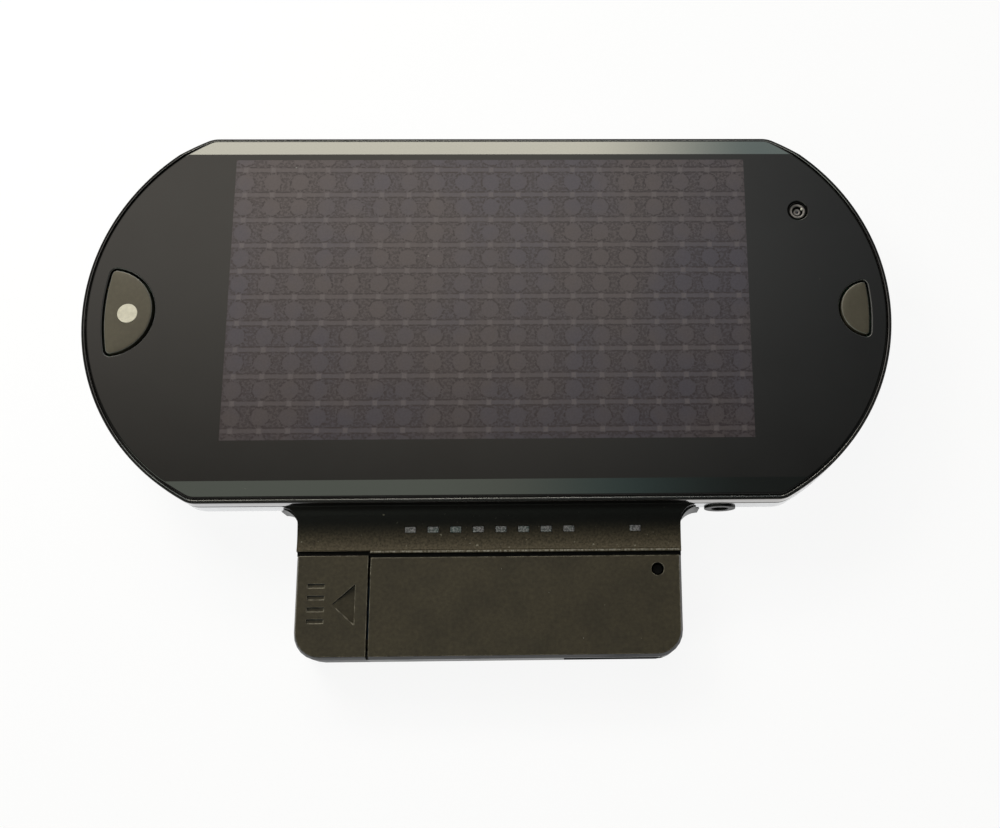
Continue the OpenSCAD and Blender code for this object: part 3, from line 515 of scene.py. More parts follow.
def makeGlass(s):
    bm = bmesh.new()
    top, low = glassHigh.z, glassLow.z

    def glassLoop(inset, drop):  # the back edge reaches a little further over the rim
        ring = []
        for x, y in bodyOutline(inset):
            over = max(0.0, y - bodyShape["crease"]) / (halfH - inset - bodyShape["crease"])
            y += over * s["reach"]
            ring.append((x, y, low if drop is None else topAt(y) - drop))
        return addLoop(bm, ring)

    base = glassLoop(s["inset"], None)
    loops = [base] + [glassLoop(s["inset"] + a, b) for a, b in s["edge"]]
    stackLoops(bm, loops)
    outer = loops[-1]
    quarter = len(outer) // 4
    n = bodyShape["endSteps"]
    corners = [n, 2 * quarter - n, 2 * quarter + n, 4 * quarter - n]

    def holeLoops(grow, z):
        rings = [keyLoop(-1, homeKey, -grow), keyLoop(1, powerKey, -grow)]
        rings = [addLoop(bm, [(x, y, z) for x, y in loop]) for loop in rings]
        hole = circlePoints(cameraPlace["x"], cameraPlace["y"], cameraPlace["hole"] + grow, z)
        rings.append(addLoop(bm, hole))
        return rings

    stages = [holeLoops(0, low)] + [holeLoops(grow, top - drop) for grow, drop in s["hole"]]
    for k in range(len(stages[0])):
        stackLoops(bm, [stage[k] for stage in stages])
    flat = outer[corners[3]:] + outer[:corners[0] + 1] + outer[corners[1]:corners[2] + 1]
    fillFlat(bm, flat, *stages[-1])
    bm.faces.new(outer[corners[0]:corners[1] + 1]).smooth = False
    bm.faces.new(outer[corners[2]:corners[3] + 1]).smooth = False
    fillFlat(bm, base, *stages[0])
    return newPiece("coverGlass", bm)


gridLook = dict(column=5.9, row=5.83, first=32.5, blob=1.7, band=0.5, square=0.5, grain=1.7, ragged=0.8,
                dash=(0.7, 1.6, 1.0), squareLight=0.6, bandLight=0.15)


def electrodeGroup(look):  # the touch sheet's pattern: plain blobs, speckled waists, pale bands
    sockets = [("Column", "Float", look["column"]), ("Row", "Float", look["row"])]
    group, start, end = newGroup("electrodeGrid", sockets, [("Dark", "Float"), ("Light", "Float")])
    place = millimetres(group)
    axis = axes(group, place)
    u = calc(group, "DIVIDE", axis[0], start["Column"])
    w = calc(group, "DIVIDE", calc(group, "SUBTRACT", axis[1], look["first"]), start["Row"])
    fu = apartFrom(group, u, calc(group, "ROUND", u))
    fw = apartFrom(group, w, calc(group, "ROUND", w))
    aside = product(group, fu, start["Column"])  # from the blob's column
    apart = product(group, fw, start["Row"])  # from the band's middle
    tall = calc(group, "SUBTRACT", product(group, start["Row"], 0.5), apart)
    away = hypotenuse(group, aside, tall)
    ragged = calc(group, "SUBTRACT", noise(group, place, 1.2, 2, 0.6), 0.5)
    away = calc(group, "MULTIPLY_ADD", ragged, look["ragged"], away)
    inBand = stretch(group, apart, look["band"] + 0.2, look["band"] - 0.1)
    waist = product(group, stretch(group, away, look["blob"] - 0.1, look["blob"] + 0.35),
                    calc(group, "SUBTRACT", 1.0, inBand))
    grains = stretch(group, noise(group, place, look["grain"], 1.5, 0.6), 0.42, 0.55, 0.12, 1.0)
    rim = stretch(group, apartFrom(group, away, look["blob"] + 0.3), 0.32, 0.05)
    cluster = product(group, waist, calc(group, "MULTIPLY_ADD", rim, 0.35, 0.65), grains)
    edge = stretch(group, apartFrom(group, apart, look["band"] + 0.1), 0.3, 0.1)
    dashes = stretch(group, noise(group, scaled(group, place, look["dash"]), 1.6, 1), 0.38, 0.52, 0.3, 1.0)
    dashed = product(group, edge, dashes, stretch(group, aside, look["square"], look["square"] + 0.3))
    setInput(group, end["Dark"], calc(group, "MAXIMUM", cluster, dashed))
    square = product(group, stretch(group, aside, look["square"] + 0.12, look["square"] - 0.12), inBand)
    square = product(group, square, look["squareLight"])
    band = product(group, inBand, look["bandLight"])
    setInput(group, end["Light"], calc(group, "MAXIMUM", square, band))
    return group


glassLook = dict(mask=(0.007, 0.0068, 0.0064), maskOther=(0.009, 0.0088, 0.0085), lowEdgeShade=0.8,
                 cell=(0.064, 0.051, 0.054), cellOther=(0.053, 0.046, 0.060), dark=(0.021, 0.0145, 0.017),
                 light=(0.100, 0.085, 0.090), holeEdgeHighlight=(0.11, 0.11, 0.112), rough=0.045,
                 picture=(110.5, 62.6), middle=3.55, paintedShadeRange=(34.0, -26.0), keyZone=(82.4, 11.4))


def glassFinish(look):
    material, tree, shader = newMaterial("coverGlassFinish")
    place = axes(tree, millimetres(tree))
    sideways = calc(tree, "SUBTRACT", calc(tree, "ABSOLUTE", place[0]), look["picture"][0] / 2)
    upright = apartFrom(tree, place[1], look["middle"])
    outside = calc(tree, "MAXIMUM", sideways, calc(tree, "SUBTRACT", upright, look["picture"][1] / 2))
    inside = stretch(tree, outside, 0.08, -0.08)
    grid = useGroup(tree, electrodeGroup(gridLook), {})
    cell = twoTones(tree, look["cell"], look["cellOther"], 22.0)
    paintedShadeFade = stretch(tree, place[1], *look["paintedShadeRange"], 1.0, look["lowEdgeShade"], False)  # painted shade: the picture area darkens downwards, standing in for the light's falloff
    cell = shaded(tree, cell, paintedShadeFade)
    cell = blendColours(tree, grid["Dark"], cell, look["dark"])
    cell = blendColours(tree, grid["Light"], cell, look["light"])
    mottled = stretch(tree, noise(tree, millimetres(tree), 2.4, 2), 0.2, 0.8, 0.86, 1.14, False)
    cell = shaded(tree, cell, mottled)
    mask = twoTones(tree, look["mask"], look["maskOther"], 30.0)
    specks = useGroup(tree, dust, {"Spacing": 7.0, "Size": 0.12, "Share": 0.22})["Mask"]
    colour = blendColours(tree, inside, mask, cell)
    colour = blendColours(tree, product(tree, specks, 0.4), colour, (0.3, 0.3, 0.28))
    # painted highlight: the rounded edges of the key holes are painted paler
    nearX, nearY = [stretch(tree, calc(tree, "ABSOLUTE", place[k]), far, far - 0.4)
                    for k, far in enumerate(look["keyZone"])]
    byKeys = product(tree, nearX, nearY)
    colour = blendColours(tree, product(tree, byKeys, edgeHighlightMask(tree, 0.2, 0.93)), colour, look["holeEdgeHighlight"])
    setInput(tree, shader.inputs["Base Color"], colour)
    marks = useGroup(tree, smudge, {"Size": 20.0, "Strength": 0.05})["Value"]
    rough = calc(tree, "ADD", marks, look["rough"])
    setInput(tree, shader.inputs["Roughness"], calc(tree, "MULTIPLY_ADD", specks, 0.4, rough))
    shader.inputs["IOR"].default_value = 1.5
    bumpFrom(tree, shader, noise(tree, millimetres(tree), 0.05, 2), 0.004)
    return material


dress(makeGlass(glassShape), "screen_half", "front_glass", glassFinish(glassLook), "front_glass")
print("cover glass made")

# black rim with a smoked metal bead in it, and the polished tray below
# foot and seat are (inset, height), crown is (inset, drop under the glass plane)
rimShape = dict(foot=[(1.02, 14.82), (0.3, 14.82), (0.3, 15.52), (0.04, 15.52)],
                crown=[(0.04, 0.2), (0.07, 0.15), (0.14, 0.11), (0.24, 0.09), (0.35, 0.1), (0.39, 0.14),
                       (0.4, 0.28)],
                seat=[(0.4, 15.46), (0.78, 15.46), (1.02, 15.44)])
beadShape = dict(foot=[(0.43, 15.42)],
                 crown=[(0.43, 0.26), (0.45, 0.17), (0.5, 0.1), (0.575, 0.075), (0.65, 0.1),
                        (0.7, 0.17), (0.72, 0.26)],
                 seat=[(0.72, 15.42)])
trayShape = [(0.9, 11.6), (0.4, 11.63), (0.12, 11.75), (0.03, 11.92), (0.0, 12.15), (0.0, 15.2), (0.02, 15.36),
             (0.08, 15.46), (0.16, 15.49), (0.28, 15.49), (0.28, 14.8), (1.6, 14.8), (1.6, 12.4)]


def sweepRing(name, s):
    bm = bmesh.new()
    loops = [levelLoop(bm, *p) for p in s["foot"]] + [edgeLoop(bm, *p) for p in s["crown"]]
    loops += [levelLoop(bm, *p) for p in s["seat"]]
    stackLoops(bm, loops + loops[:1])
    return shapedPiece(name, bm)


def sweepTray(profile):
    bm = bmesh.new()
    loops = [levelLoop(bm, *p) for p in profile]
    stackSolid(bm, loops)
    return shapedPiece("screenTray", bm)


rimLook = dict(tone=grey(0.006), other=grey(0.009), gloss=0.25, rough=0.2, grain=0.4, depth=0.0012,
               wear=0.0, specks=0.1, smudge=0.08)
beadLook = dict(tone=(0.2, 0.2, 0.205), other=grey(0.16), rough=0.18, metal=1.0, grain=0.3, depth=0.001,
                wear=0.2, wornAndHighlight=grey(0.3), specks=0.1, smudge=0.1)
trayLook = dict(tone=(0.27, 0.268, 0.272), other=(0.2, 0.188, 0.175), rough=0.1, metal=1.0, grain=0.3,
                depth=0.001,
                wear=0.2, wornAndHighlight=grey(0.45), specks=0.12, smudge=0.08, drift=40.0)
rimFinish, beadFinish = mouldedPlastic("rimBlack", rimLook), mouldedPlastic("beadSmoke", beadLook)
trayFinish = mouldedPlastic("trayMirror", trayLook)
dress(sweepRing("frontRim", rimShape), "screen_half", "bezel", rimFinish, "front_bezel")
dress(sweepRing("rimBead", beadShape), "screen_half", "bezel", beadFinish)
dress(sweepTray(trayShape), "screen_half", "screen_band", trayFinish, "screen_frame")
print("rim and tray made")

# half-moon keys: flat satin faces with rounded edges, a little proud at their inner side
keyProud = 0.08
keyRise = [(0, -0.32), (0.03, -0.18), (0.1, -0.07), (0.22, -0.01), (0.5, 0.03), (1.2, 0.06), (2.2, 0.08),
           (2.8, 0.09)]
# rim is a painted highlight along the caps' rounded edges
keyLook = dict(tone=(0.072, 0.064, 0.045), other=(0.065, 0.057, 0.041), rim=(0.17, 0.17, 0.16), rough=0.36,
               metal=0.1, grain=0.12, depth=0.004, wear=0.6, wornAndHighlight=(0.3, 0.29, 0.26), specks=0.25,
               speck=0.07, speckGap=2.5)
keyFinish = mouldedPlastic("keySatin", keyLook)


def makeKey(name, side, key):
    bm = bmesh.new()
    low, top = boxOf("home_key")[0].z, glassHigh.z + keyProud
    inner, outer = key["cx"] - key["r"], halfW - key["edge"]
    loops = [addLoop(bm, [(x, y, low) for x, y in keyLoop(side, key, key["gap"])])]
    for shrink, rise in keyRise:
        ring = []
        for x, y in keyLoop(side, key, key["gap"] + shrink * key["crown"]):
            tilt = key["lift"] * (outer - abs(x)) / (outer - inner)
            ring.append((x, y, top + rise + tilt))
        loops.append(addLoop(bm, ring))
    stackSolid(bm, loops)
    return shapedPiece(name, bm, 60)


dress(makeKey("homeKeyCap", -1, homeKey), "home_key", "front_key", keyFinish, "home_key")
dress(makeKey("powerKeyCap", 1, powerKey), "power_key", "front_key", keyFinish, "power_key")

dotShape = dict(x=-75.9, y=-0.3, r=2.1, low=16.8, rise=0.46)
dotLook = dict(tone=(0.53, 0.50, 0.41), other=(0.58, 0.55, 0.46), rough=0.42, grain=0.15, depth=0.004, wear=0.3,
               wornAndHighlight=(0.75, 0.72, 0.6), specks=0.3, speckGap=1.6, speck=0.05, dust=(0.3, 0.28, 0.22), drift=2.0)


def makeDot(s):
    bm = bmesh.new()
    r, top = s["r"], glassHigh.z + s["rise"]
    rim = [(r, top - 0.05), (r - 0.03, top + 0.02), (r - 0.12, top + 0.06), (r - 0.24, top + 0.04)]
    latheUp(bm, s["x"], s["y"], [(r, s["low"])] + rim + [(r - 0.36, top), (0.8, top), (0.4, top)])
    return shapedPiece("homeKeyDot", bm, 40)


dress(makeDot(dotShape), "home_key", "home_dot", mouldedPlastic("dotIvory", dotLook), "home_dot")
print("front keys made")

# camera: black cup with a grey ring, a grey iris and a small domed lens
cameraShape = dict(
    cup=[(2.0, 12.4), (2.0, 16.72), (1.97, 16.82), (1.88, 16.87), (1.78, 16.85), (1.73, 16.76), (1.71, 16.5),
         (1.15, 16.2), (0.9, 15.95), (0.8, 15.6), (0.76, 15.3)],
    rings=[[(1.18, 16.2), (1.2, 16.5), (1.28, 16.58), (1.45, 16.61), (1.6, 16.58), (1.68, 16.5), (1.69, 16.2)],
           [(0.34, 15.6), (0.36, 15.95), (0.44, 16.0), (0.58, 16.02), (0.7, 15.99), (0.77, 15.9),
            (0.78, 15.6)]],
    lens=[(0.34, 14.8), (0.34, 15.86), (0.31, 15.96), (0.24, 16.04), (0.14, 16.08), (0.05, 16.1)])
cameraLook = dict(tone=grey(0.001), other=grey(0.002), gloss=0.1, rough=0.4, grain=0.15,
                  depth=0.003, wear=0.2, wornAndHighlight=grey(0.06), specks=0.1)
ringLook = dict(tone=(0.23, 0.21, 0.205), other=(0.16, 0.148, 0.145), rough=0.35, grain=0.1, depth=0.002,
                drift=1.2,
                wear=0.3, specks=0.1)
# a pale domed dot beside the lens: a painted highlight standing in for the lens's glint
glintDotShape = dict(aside=0.98, up=0.5,
                   profile=[(0.27, 16.3), (0.27, 16.62), (0.22, 16.7), (0.12, 16.75), (0.05, 16.76)])
lensLook = dict(tone=(0.006, 0.007, 0.010), other=(0.012, 0.010, 0.016))


def lensFinish(look):
    material, tree, shader = newMaterial("lensCoated")
    tint = twoTones(tree, look["tone"], look["other"], 0.8)
    setInput(tree, shader.inputs["Base Color"], tint)
    marks = useGroup(tree, smudge, {"Size": 1.0, "Strength": 0.04})["Value"]
    setInput(tree, shader.inputs["Roughness"], calc(tree, "ADD", marks, 0.02))
    shader.inputs["Coat Weight"].default_value = 1.0
    shader.inputs["Coat Roughness"].default_value = 0.02
    shader.inputs["Coat Tint"].default_value = (0.75, 0.8, 1.0, 1.0)
    bumpFrom(tree, shader, noise(tree, millimetres(tree), 4.0, 1), 0.0005)
    return material


def makeCameraPart(name, profiles, maker):
    bm = bmesh.new()
    for profile in profiles:
        maker(bm, cameraPlace["x"], cameraPlace["y"], profile, 64)
    return shapedPiece(name, bm)


cup = makeCameraPart("cameraCup", [cameraShape["cup"]], latheUp)
dress(cup, "screen_half", "camera", mouldedPlastic("cameraBlack", cameraLook), "camera_module")
rings = makeCameraPart("cameraRings", cameraShape["rings"], latheRing)
dress(rings, "screen_half", "camera", mouldedPlastic("ringGrey", ringLook))
lens = makeCameraPart("cameraLens", [cameraShape["lens"]], latheUp)
dress(lens, "screen_half", "camera_lens", lensFinish(lensLook), "camera_lens")
# the pale dot that stands in for the lens's glint
bm = bmesh.new()
glintX, glintY = cameraPlace["x"] + glintDotShape["aside"], cameraPlace["y"] + glintDotShape["up"]
latheUp(bm, glintX, glintY, glintDotShape["profile"], 20)
glintDot = shapedPiece("cameraGlintDot", bm)
dress(glintDot, "screen_half", "camera", mouldedPlastic("glintPale", dict(dotLook, tone=grey(0.7))))
print("camera made")

# neck: scooped cover between console and plate, with pockets for the light windows
neckShape = dict(half=39.8, flare=3.4, top=-40.4, end=-51.1, doorEnd=-50.66, low=8.6, lightY=-45.42, lightW=2.3,
                 lightH=1.25, gap=0.05, lightR=0.22, pitch=4.7, charge=30.3, pocket=0.9, side=1.5,
                 doorX=-24.7, plainEnd=-49.78, grooveZ=8.97,
                 curve=[(-40.4, 11.44), (-40.63, 11.4), (-40.9, 11.2), (-41.3, 10.95), (-41.8, 10.74),
                        (-42.4, 10.56), (-43.2, 10.4), (-44.0, 10.25), (-45.0, 10.09), (-46.0, 9.97),
                        (-46.8, 9.91), (-47.5, 9.89), (-48.2, 9.9), (-48.8, 9.95), (-49.3, 10.02),
                        (-49.55, 10.08), (-49.66, 9.98), (-49.76, 10.04), (-49.9, 10.1), (-50.05, 10.1),
                        (-50.18, 10.05), (-50.27, 9.9), (-50.33, 9.5), (-50.37, 9.0), (-51.1, 8.97)])


statusAt = [neckShape["pitch"] * (k - 3.5) for k in range(8)]


def neckHeight(x, y):
    curve = neckShape["curve"]
    if x < neckShape["doorX"] and y < neckShape["plainEnd"]:
        return neckShape["grooveZ"]  # no ridge above the battery door
    for (ya, za), (yb, zb) in zip(curve, curve[1:]):
        if ya >= y >= yb:
            return za + (zb - za) * (ya - y) / (ya - yb)
    return curve[-1][1]


def makeNeck(s):
    edge = boxOf("rear_shell")[0].y
    lights = statusAt + [s["charge"]]
    w, h = s["lightW"] / 2 + s["gap"], s["lightH"] / 2 + s["gap"]
    rows = {y for y, z in s["curve"]} | {s["lightY"] - h, s["lightY"] + h}
    rows |= {edge - 0.5 * k for k in range(1, 10)}
    rows = [y for y in sorted(rows, reverse=True) if s["end"] <= y <= s["top"]]
    columns = [x + side * w for x in lights for side in (-1, 1)]
    columns += [s["side"] - s["half"], s["half"] - s["side"], s["doorX"] - 0.1, s["doorX"] + 0.1]
    columns.sort()

    def halfAt(y):  # the neck flares into the console's edge
        rise = y - (edge - s["flare"])
        if rise <= 0:
            return s["half"]
        return s["half"] + s["flare"] - math.sqrt(max(s["flare"] ** 2 - min(rise, s["flare"]) ** 2, 0))

    bm = bmesh.new()
    grid = []
    for y in rows:
        xs = [-halfAt(y)] + columns + [halfAt(y)]
        byDoor = s["doorEnd"] if y == s["end"] else y
        grid.append(addLoop(bm, [(x, byDoor if x < s["doorX"] else y, neckHeight(x, y)) for x in xs]))
    pockets = []
    for j in range(len(rows) - 1):
        for i in range(len(grid[0]) - 1):
            midX = (grid[j][i].co.x + grid[j][i + 1].co.x) / 2 / mm
            midY = (rows[j] + rows[j + 1]) / 2
            quad = (grid[j][i], grid[j + 1][i], grid[j + 1][i + 1], grid[j][i + 1])
            if abs(midY - s["lightY"]) < h and any(abs(midX - x) < w for x in lights):
                pockets.append(bm.faces.new(quad))
            else:
                bm.faces.new(quad).smooth = True
    sunk = bmesh.ops.extrude_face_region(bm, geom=pockets)
    floorVerts = [v for v in sunk["geom"] if isinstance(v, bmesh.types.BMVert)]
    bmesh.ops.translate(bm, verts=floorVerts, vec=(0, 0, -s["pocket"] * mm))
    bmesh.ops.delete(bm, geom=pockets, context="FACES_ONLY")
    border = grid[0] + [row[-1] for row in grid[1:]] + grid[-1][-2::-1] + [row[0] for row in grid[-2:0:-1]]
    foot = [bm.verts.new((v.co.x, v.co.y, s["low"] * mm)) for v in border]
    bridge(bm, border, foot)
    bm.faces.new(foot).smooth = False
    return softenEdges(newPiece("neckScoop", bm), 0.1, 60, 2, 40)


# tone is the painted shadow's near-black under the console's edge
neckLook = dict(tone=(0.0028, 0.0025, 0.0022), brown=(0.068, 0.056, 0.037), paintedShadeFade=(-43.2, -48.8), groove=-50.26,
                grooveShade=grey(0.0006), ridge=-49.98, ridgeGlint=(0.3, 0.285, 0.25), dust=(0.3, 0.28, 0.22))


def neckFinish(look):  # painted shadow: black under the console's edge where its shade falls, dusty brown towards the plate
    material, tree, shader = newMaterial("neckSatin")
    place = millimetres(tree)
    x, y, z = axes(tree, place)
    # painted shadow: near-black under the console's edge, fading to brown further out
    brown = stretch(tree, y, *look["paintedShadeFade"])
    tone = blendColours(tree, brown, look["tone"], look["brown"])
    grit = stretch(tree, noise(tree, place, 2.0, 3, 0.75), 0.3, 0.72, 0.45, 1.6, False)
    tone = shaded(tree, tone, grit)
    fine = useGroup(tree, dust, {"Spacing": 0.9, "Size": 0.1, "Share": 0.22})["Mask"]
    coarse = useGroup(tree, dust, {"Spacing": 2.4, "Size": 0.2, "Share": 0.2})["Mask"]
    specks = calc(tree, "MAXIMUM", coarse, product(tree, fine, calc(tree, "MULTIPLY_ADD", brown, 0.8, 0.2)))
    tone = blendColours(tree, product(tree, specks, 0.55), tone, look["dust"])
    # painted highlight: a glittery pale line along the ridge's crest
    crestGlint = stretch(tree, apartFrom(tree, y, look["ridge"]), 0.26, 0.08)
    rough = stretch(tree, noise(tree, scaled(tree, place, (1.5, 0.4, 1.0)), 1.1, 3, 0.7), 0.4, 0.62)
    ridgeGlintMask = product(tree, crestGlint, rough, stretch(tree, x, neckShape["doorX"], neckShape["doorX"] + 0.2))
    tone = blendColours(tree, product(tree, ridgeGlintMask, 0.8), tone, look["ridgeGlint"])
    # painted shade: the groove and the low strip above the battery door are painted near-black
    inGroove = stretch(tree, y, look["groove"] + 0.05, look["groove"] - 0.05)
    plain = stretch(tree, x, neckShape["doorX"] + 0.1, neckShape["doorX"] - 0.1)
    plain = product(tree, plain, stretch(tree, y, neckShape["plainEnd"] + 0.02, neckShape["plainEnd"] - 0.02))
    tone = blendColours(tree, calc(tree, "MAXIMUM", inGroove, plain), tone, look["grooveShade"])
    setSurface(tree, shader, tone, calc(tree, "MULTIPLY_ADD", specks, 0.3, 0.42))
    shader.inputs["Specular IOR Level"].default_value = 0.16
    bumpFrom(tree, shader, useGroup(tree, grain, {"Size": 0.16})["Height"], 0.006)
    return material


dress(makeNeck(neckShape), "deck", "neck", neckFinish(neckLook), "neck_cover")
print("neck made")

# controls on the deck
flangeTop, flangeLow, capTop = 9.0, 8.2, boxOf("button_north")[1].z
controlLook = dict(tone=(0.035, 0.035, 0.037), other=(0.045, 0.045, 0.047), rough=0.33, grain=0.18, depth=0.006,
                   wear=0.6, wornAndHighlight=grey(0.14), specks=0.2, speckGap=2.5)
controlFinish = mouldedPlastic("controlSatin", controlLook)

padShape = dict(reach=8.5, half=3.2, corner=1.0, dish=0.5, markR=0.55, markAt=6.4,
                steps=[(0, -1.0), (0, -0.4), (0.05, -0.2), (0.16, -0.07), (0.34, 0), (0.9, 0.02), (1.6, 0.02),
                       (2.3, 0.0)])


def makePad(s):
    top = boxOf("dpad")[1].z
    cx, cy = middleOf("dpad")

    def cross(shrink):
        a, b = s["reach"] - shrink, s["half"] - shrink
        corners = [(a, -b), (a, b), (b, b), (b, a), (-b, a), (-b, b)]
        corners += [(-x, -y) for x, y in corners]
        return roundCorners(corners, max(s["corner"] - shrink, 0.25) if shrink else s["corner"])

    bm = bmesh.new()
    loops = []
    for shrink, rise in s["steps"]:
        ring = []
        for x, y in cross(shrink):
            share = min(math.hypot(x, y) / s["reach"], 1)
            sink = 0 if rise <= -1 else s["dish"] * (1 - share ** 2)
            ring.append((cx + x, cy + y, (flangeTop if rise <= -1 else top + rise - 0.02) - sink))
        loops.append(addLoop(bm, ring))
    stackSolid(bm, loops)
    for k in range(4):  # a small raised stud near the end of each arm
        turn = k * math.pi / 2
        mx, my = cx + s["markAt"] * math.cos(turn), cy + s["markAt"] * math.sin(turn)
        sunk = top - s["dish"] * (1 - (s["markAt"] / s["reach"]) ** 2)
        stud = [(1, -0.2), (1, 0.03), (0.8, 0.11), (0.4, 0.15)]
        latheUp(bm, mx, my, [(s["markR"] * share, sunk + rise) for share, rise in stud], 20)
    return shapedPiece("padCross", bm)



def fromTop(profile):
    return [(r, capTop + rise) for r, rise in profile]


buttonShape = [(4.35, flangeLow), (4.35, flangeTop), (3.72, flangeTop), (3.6, flangeTop + 0.12)]
buttonShape += fromTop([(3.6, -0.5), (3.54, -0.28), (3.38, -0.13), (3.05, -0.03), (2.5, 0), (1.9, -0.02),
                        (1.2, -0.06), (0.5, -0.07)])
nubShape = [(1.5, 7.3), (1.5, flangeLow), (10.7, flangeLow), (10.79, flangeLow + 0.1), (10.79, flangeTop - 0.1),
            (10.7, flangeTop), (5.5, flangeTop), (5.25, flangeTop + 0.1), (5.2, flangeTop + 0.35)]
nubShape += fromTop([(5.2, -0.55), (5.13, -0.28), (4.95, -0.1), (4.65, 0), (4.35, -0.03), (4.15, -0.14),
                     (4.05, -0.22), (3.9, -0.2), (3.75, -0.28), (3.6, -0.36), (3.45, -0.34), (3.3, -0.4),
                     (2.4, -0.47), (1.2, -0.5), (0.5, -0.5)])
menuShape = dict(w=6.4, h=2.8, flange=0.75, top=boxOf("start_key")[1].z,
                 steps=[(0, -1.3), (0, -0.35), (0.05, -0.18), (0.15, -0.07), (0.35, -0.01), (0.7, 0.0),
                        (1.1, -0.02)])


def makeRound(name, node, profile, steps):
    bm = bmesh.new()
    latheUp(bm, *middleOf(node), profile, steps)
    return shapedPiece(name, bm)


def makeMenuKey(name, node, s):
    cx, cy = middleOf(node)

    def pill(grow, z):
        r, half = s["h"] / 2 + grow, (s["w"] - s["h"]) / 2
        turns = [math.pi * (k / 16 - 0.5) for k in range(17)]
        right = [(cx + half + r * math.cos(t), cy + r * math.sin(t), z) for t in turns]
        return addLoop(bm, right + [(2 * cx - x, 2 * cy - y, z) for x, y, z in right])

    bm = bmesh.new()
    loops = [pill(s["flange"], flangeLow), pill(s["flange"], flangeTop), pill(0.1, flangeTop)]
    loops += [pill(-shrink, s["top"] + rise) for shrink, rise in s["steps"]]
    stackSolid(bm, loops)
    return shapedPiece(name, bm)


dress(makePad(padShape), "dpad", "control", controlFinish, "dpad")
for way in ("north", "east", "south", "west"):
    cap = makeRound(way + "ButtonCap", "button_" + way, buttonShape, 48)
    dress(cap, "button_" + way, "control", controlFinish, "button_" + way)
for side in ("left", "right"):
    cap = makeRound(side + "NubCap", "nub_" + side, nubShape, 64)
    dress(cap, "nub_" + side, "control", controlFinish, "nub_" + side)
for node in ("start_key", "select_key"):
    cap = makeMenuKey(node.split("_")[0] + "KeyCap", node, menuShape)
    dress(cap, node, "control", controlFinish, node)
print("deck controls made")


# finishes of the solids that stay as they are
def boardFinish(name):
    material, tree, shader = newMaterial(name)
    place = millimetres(tree)
    layout = {"Vector": place, "Scale": 0.55, "Mortar Size": 0.035, "Brick Width": 1.7, "Row Height": 0.42}
    tracks = addNode(tree, "TexBrick", layout, offset=0.37).outputs["Fac"]
    pads = addNode(tree, "TexVoronoi", {"Vector": place, "Scale": 0.45}).outputs["Distance"]
    pad = stretch(tree, pads, 0.14, 0.11)
    mask = twoTones(tree, (0.012, 0.055, 0.026), (0.016, 0.07, 0.034), 6.0)
    colour = blendColours(tree, product(tree, tracks, 0.55), mask, (0.03, 0.13, 0.06))
    setInput(tree, shader.inputs["Base Color"], blendColours(tree, pad, colour, (0.62, 0.45, 0.16)))
    setInput(tree, shader.inputs["Metallic"], product(tree, pad, 0.9))
    setInput(tree, shader.inputs["Roughness"], stretch(tree, pad, 0, 1, 0.4, 0.25))
    bumpFrom(tree, shader, calc(tree, "ADD", tracks, pad), 0.03)
    return material


def windowFinish(name, look):  # milky light guide
    material, tree, shader = newMaterial(name)
    tone = twoTones(tree, look["tone"], look["other"], look["drift"])
    flake = stretch(tree, noise(tree, millimetres(tree), 2.6, 2), 0.42, 0.62)
    colour = blendColours(tree, product(tree, flake, 0.45), tone, look["flake"])
    setSurface(tree, shader, colour, stretch(tree, flake, 0, 1, 0.22, 0.4))
    bumpFrom(tree, shader, flake, 0.02)
    return material


plastics = {
    "deck_shell": ("shellSilver", dict(
        tone=(0.60, 0.61, 0.63), other=(0.54, 0.545, 0.555), rough=0.13, metal=1.0, grain=0.14, depth=0.001,
        wear=0.3, wornAndHighlight=grey(0.75), specks=0.2, dust=grey(0.2), drift=25.0)),
    "deck_cover": ("coverBlack", dict(
        tone=(0.022, 0.022, 0.023), other=(0.028, 0.028, 0.029), rough=0.42, grain=0.28, depth=0.012, wear=0.6,
        wornAndHighlight=grey(0.1), specks=0.3)),
    "module_case": ("caseBlack", dict(
        tone=(0.012, 0.0124, 0.0136), other=(0.016, 0.0163, 0.0172), gloss=0.3, rough=0.36, grain=0.2,
        depth=0.005, wear=0.4, wornAndHighlight=grey(0.08), specks=0.3)),
    # plateOlive: its front-facing faces are painted near-black (painted shade); its pale edges are mostly a
    # painted highlight along the top edges
    "module_top": ("plateOlive", dict(
        tone=(0.040, 0.0333, 0.021), other=(0.031, 0.026, 0.017), gloss=0.3, rough=0.42, grain=0.2,
        depth=0.006, wear=1.0, seam=(0.006, 0.0065, 0.009), wornAndHighlight=(0.34, 0.315, 0.25), specks=0.35,
        speck=0.07, speckGap=2.4, drift=9.0, smudge=0.14, mottle=0.3)),
    "inner_black": ("innerBlack", dict(
        tone=grey(0.010), other=grey(0.014), rough=0.5, grain=0.3, depth=0.01, wear=0.3, specks=0.1)),
    # pin_well: a near-black painted shade for the reset button down in its hole
    "pin_well": ("wellShade", dict(
        tone=grey(0.0012), other=grey(0.002), gloss=0.1, rough=0.5, grain=0.3, depth=0.01, wear=0.0,
        specks=0.1)),
    "jack": ("jackBlack", dict(
        tone=grey(0.004), other=grey(0.006), gloss=0.3, rough=0.4, grain=0.2, depth=0.003, wear=0.2,
        wornAndHighlight=grey(0.05), specks=0.1)),
    "battery": ("batteryWrap", dict(
        tone=(0.05, 0.09, 0.16), other=(0.06, 0.10, 0.18), rough=0.3, grain=0.6, depth=0.012, wear=0.4,
        specks=0.2)),
    "pad_rubber": ("padRubber", dict(
        tone=(0.05, 0.05, 0.052), other=(0.065, 0.064, 0.064), rough=0.75, grain=0.3, depth=0.02, wear=0.2,
        specks=0.5)),
    "display": ("panelBlack", dict(
        tone=(0.02, 0.02, 0.024), other=(0.026, 0.024, 0.03), rough=0.15, grain=0.8, depth=0.001, wear=0.1)),
}
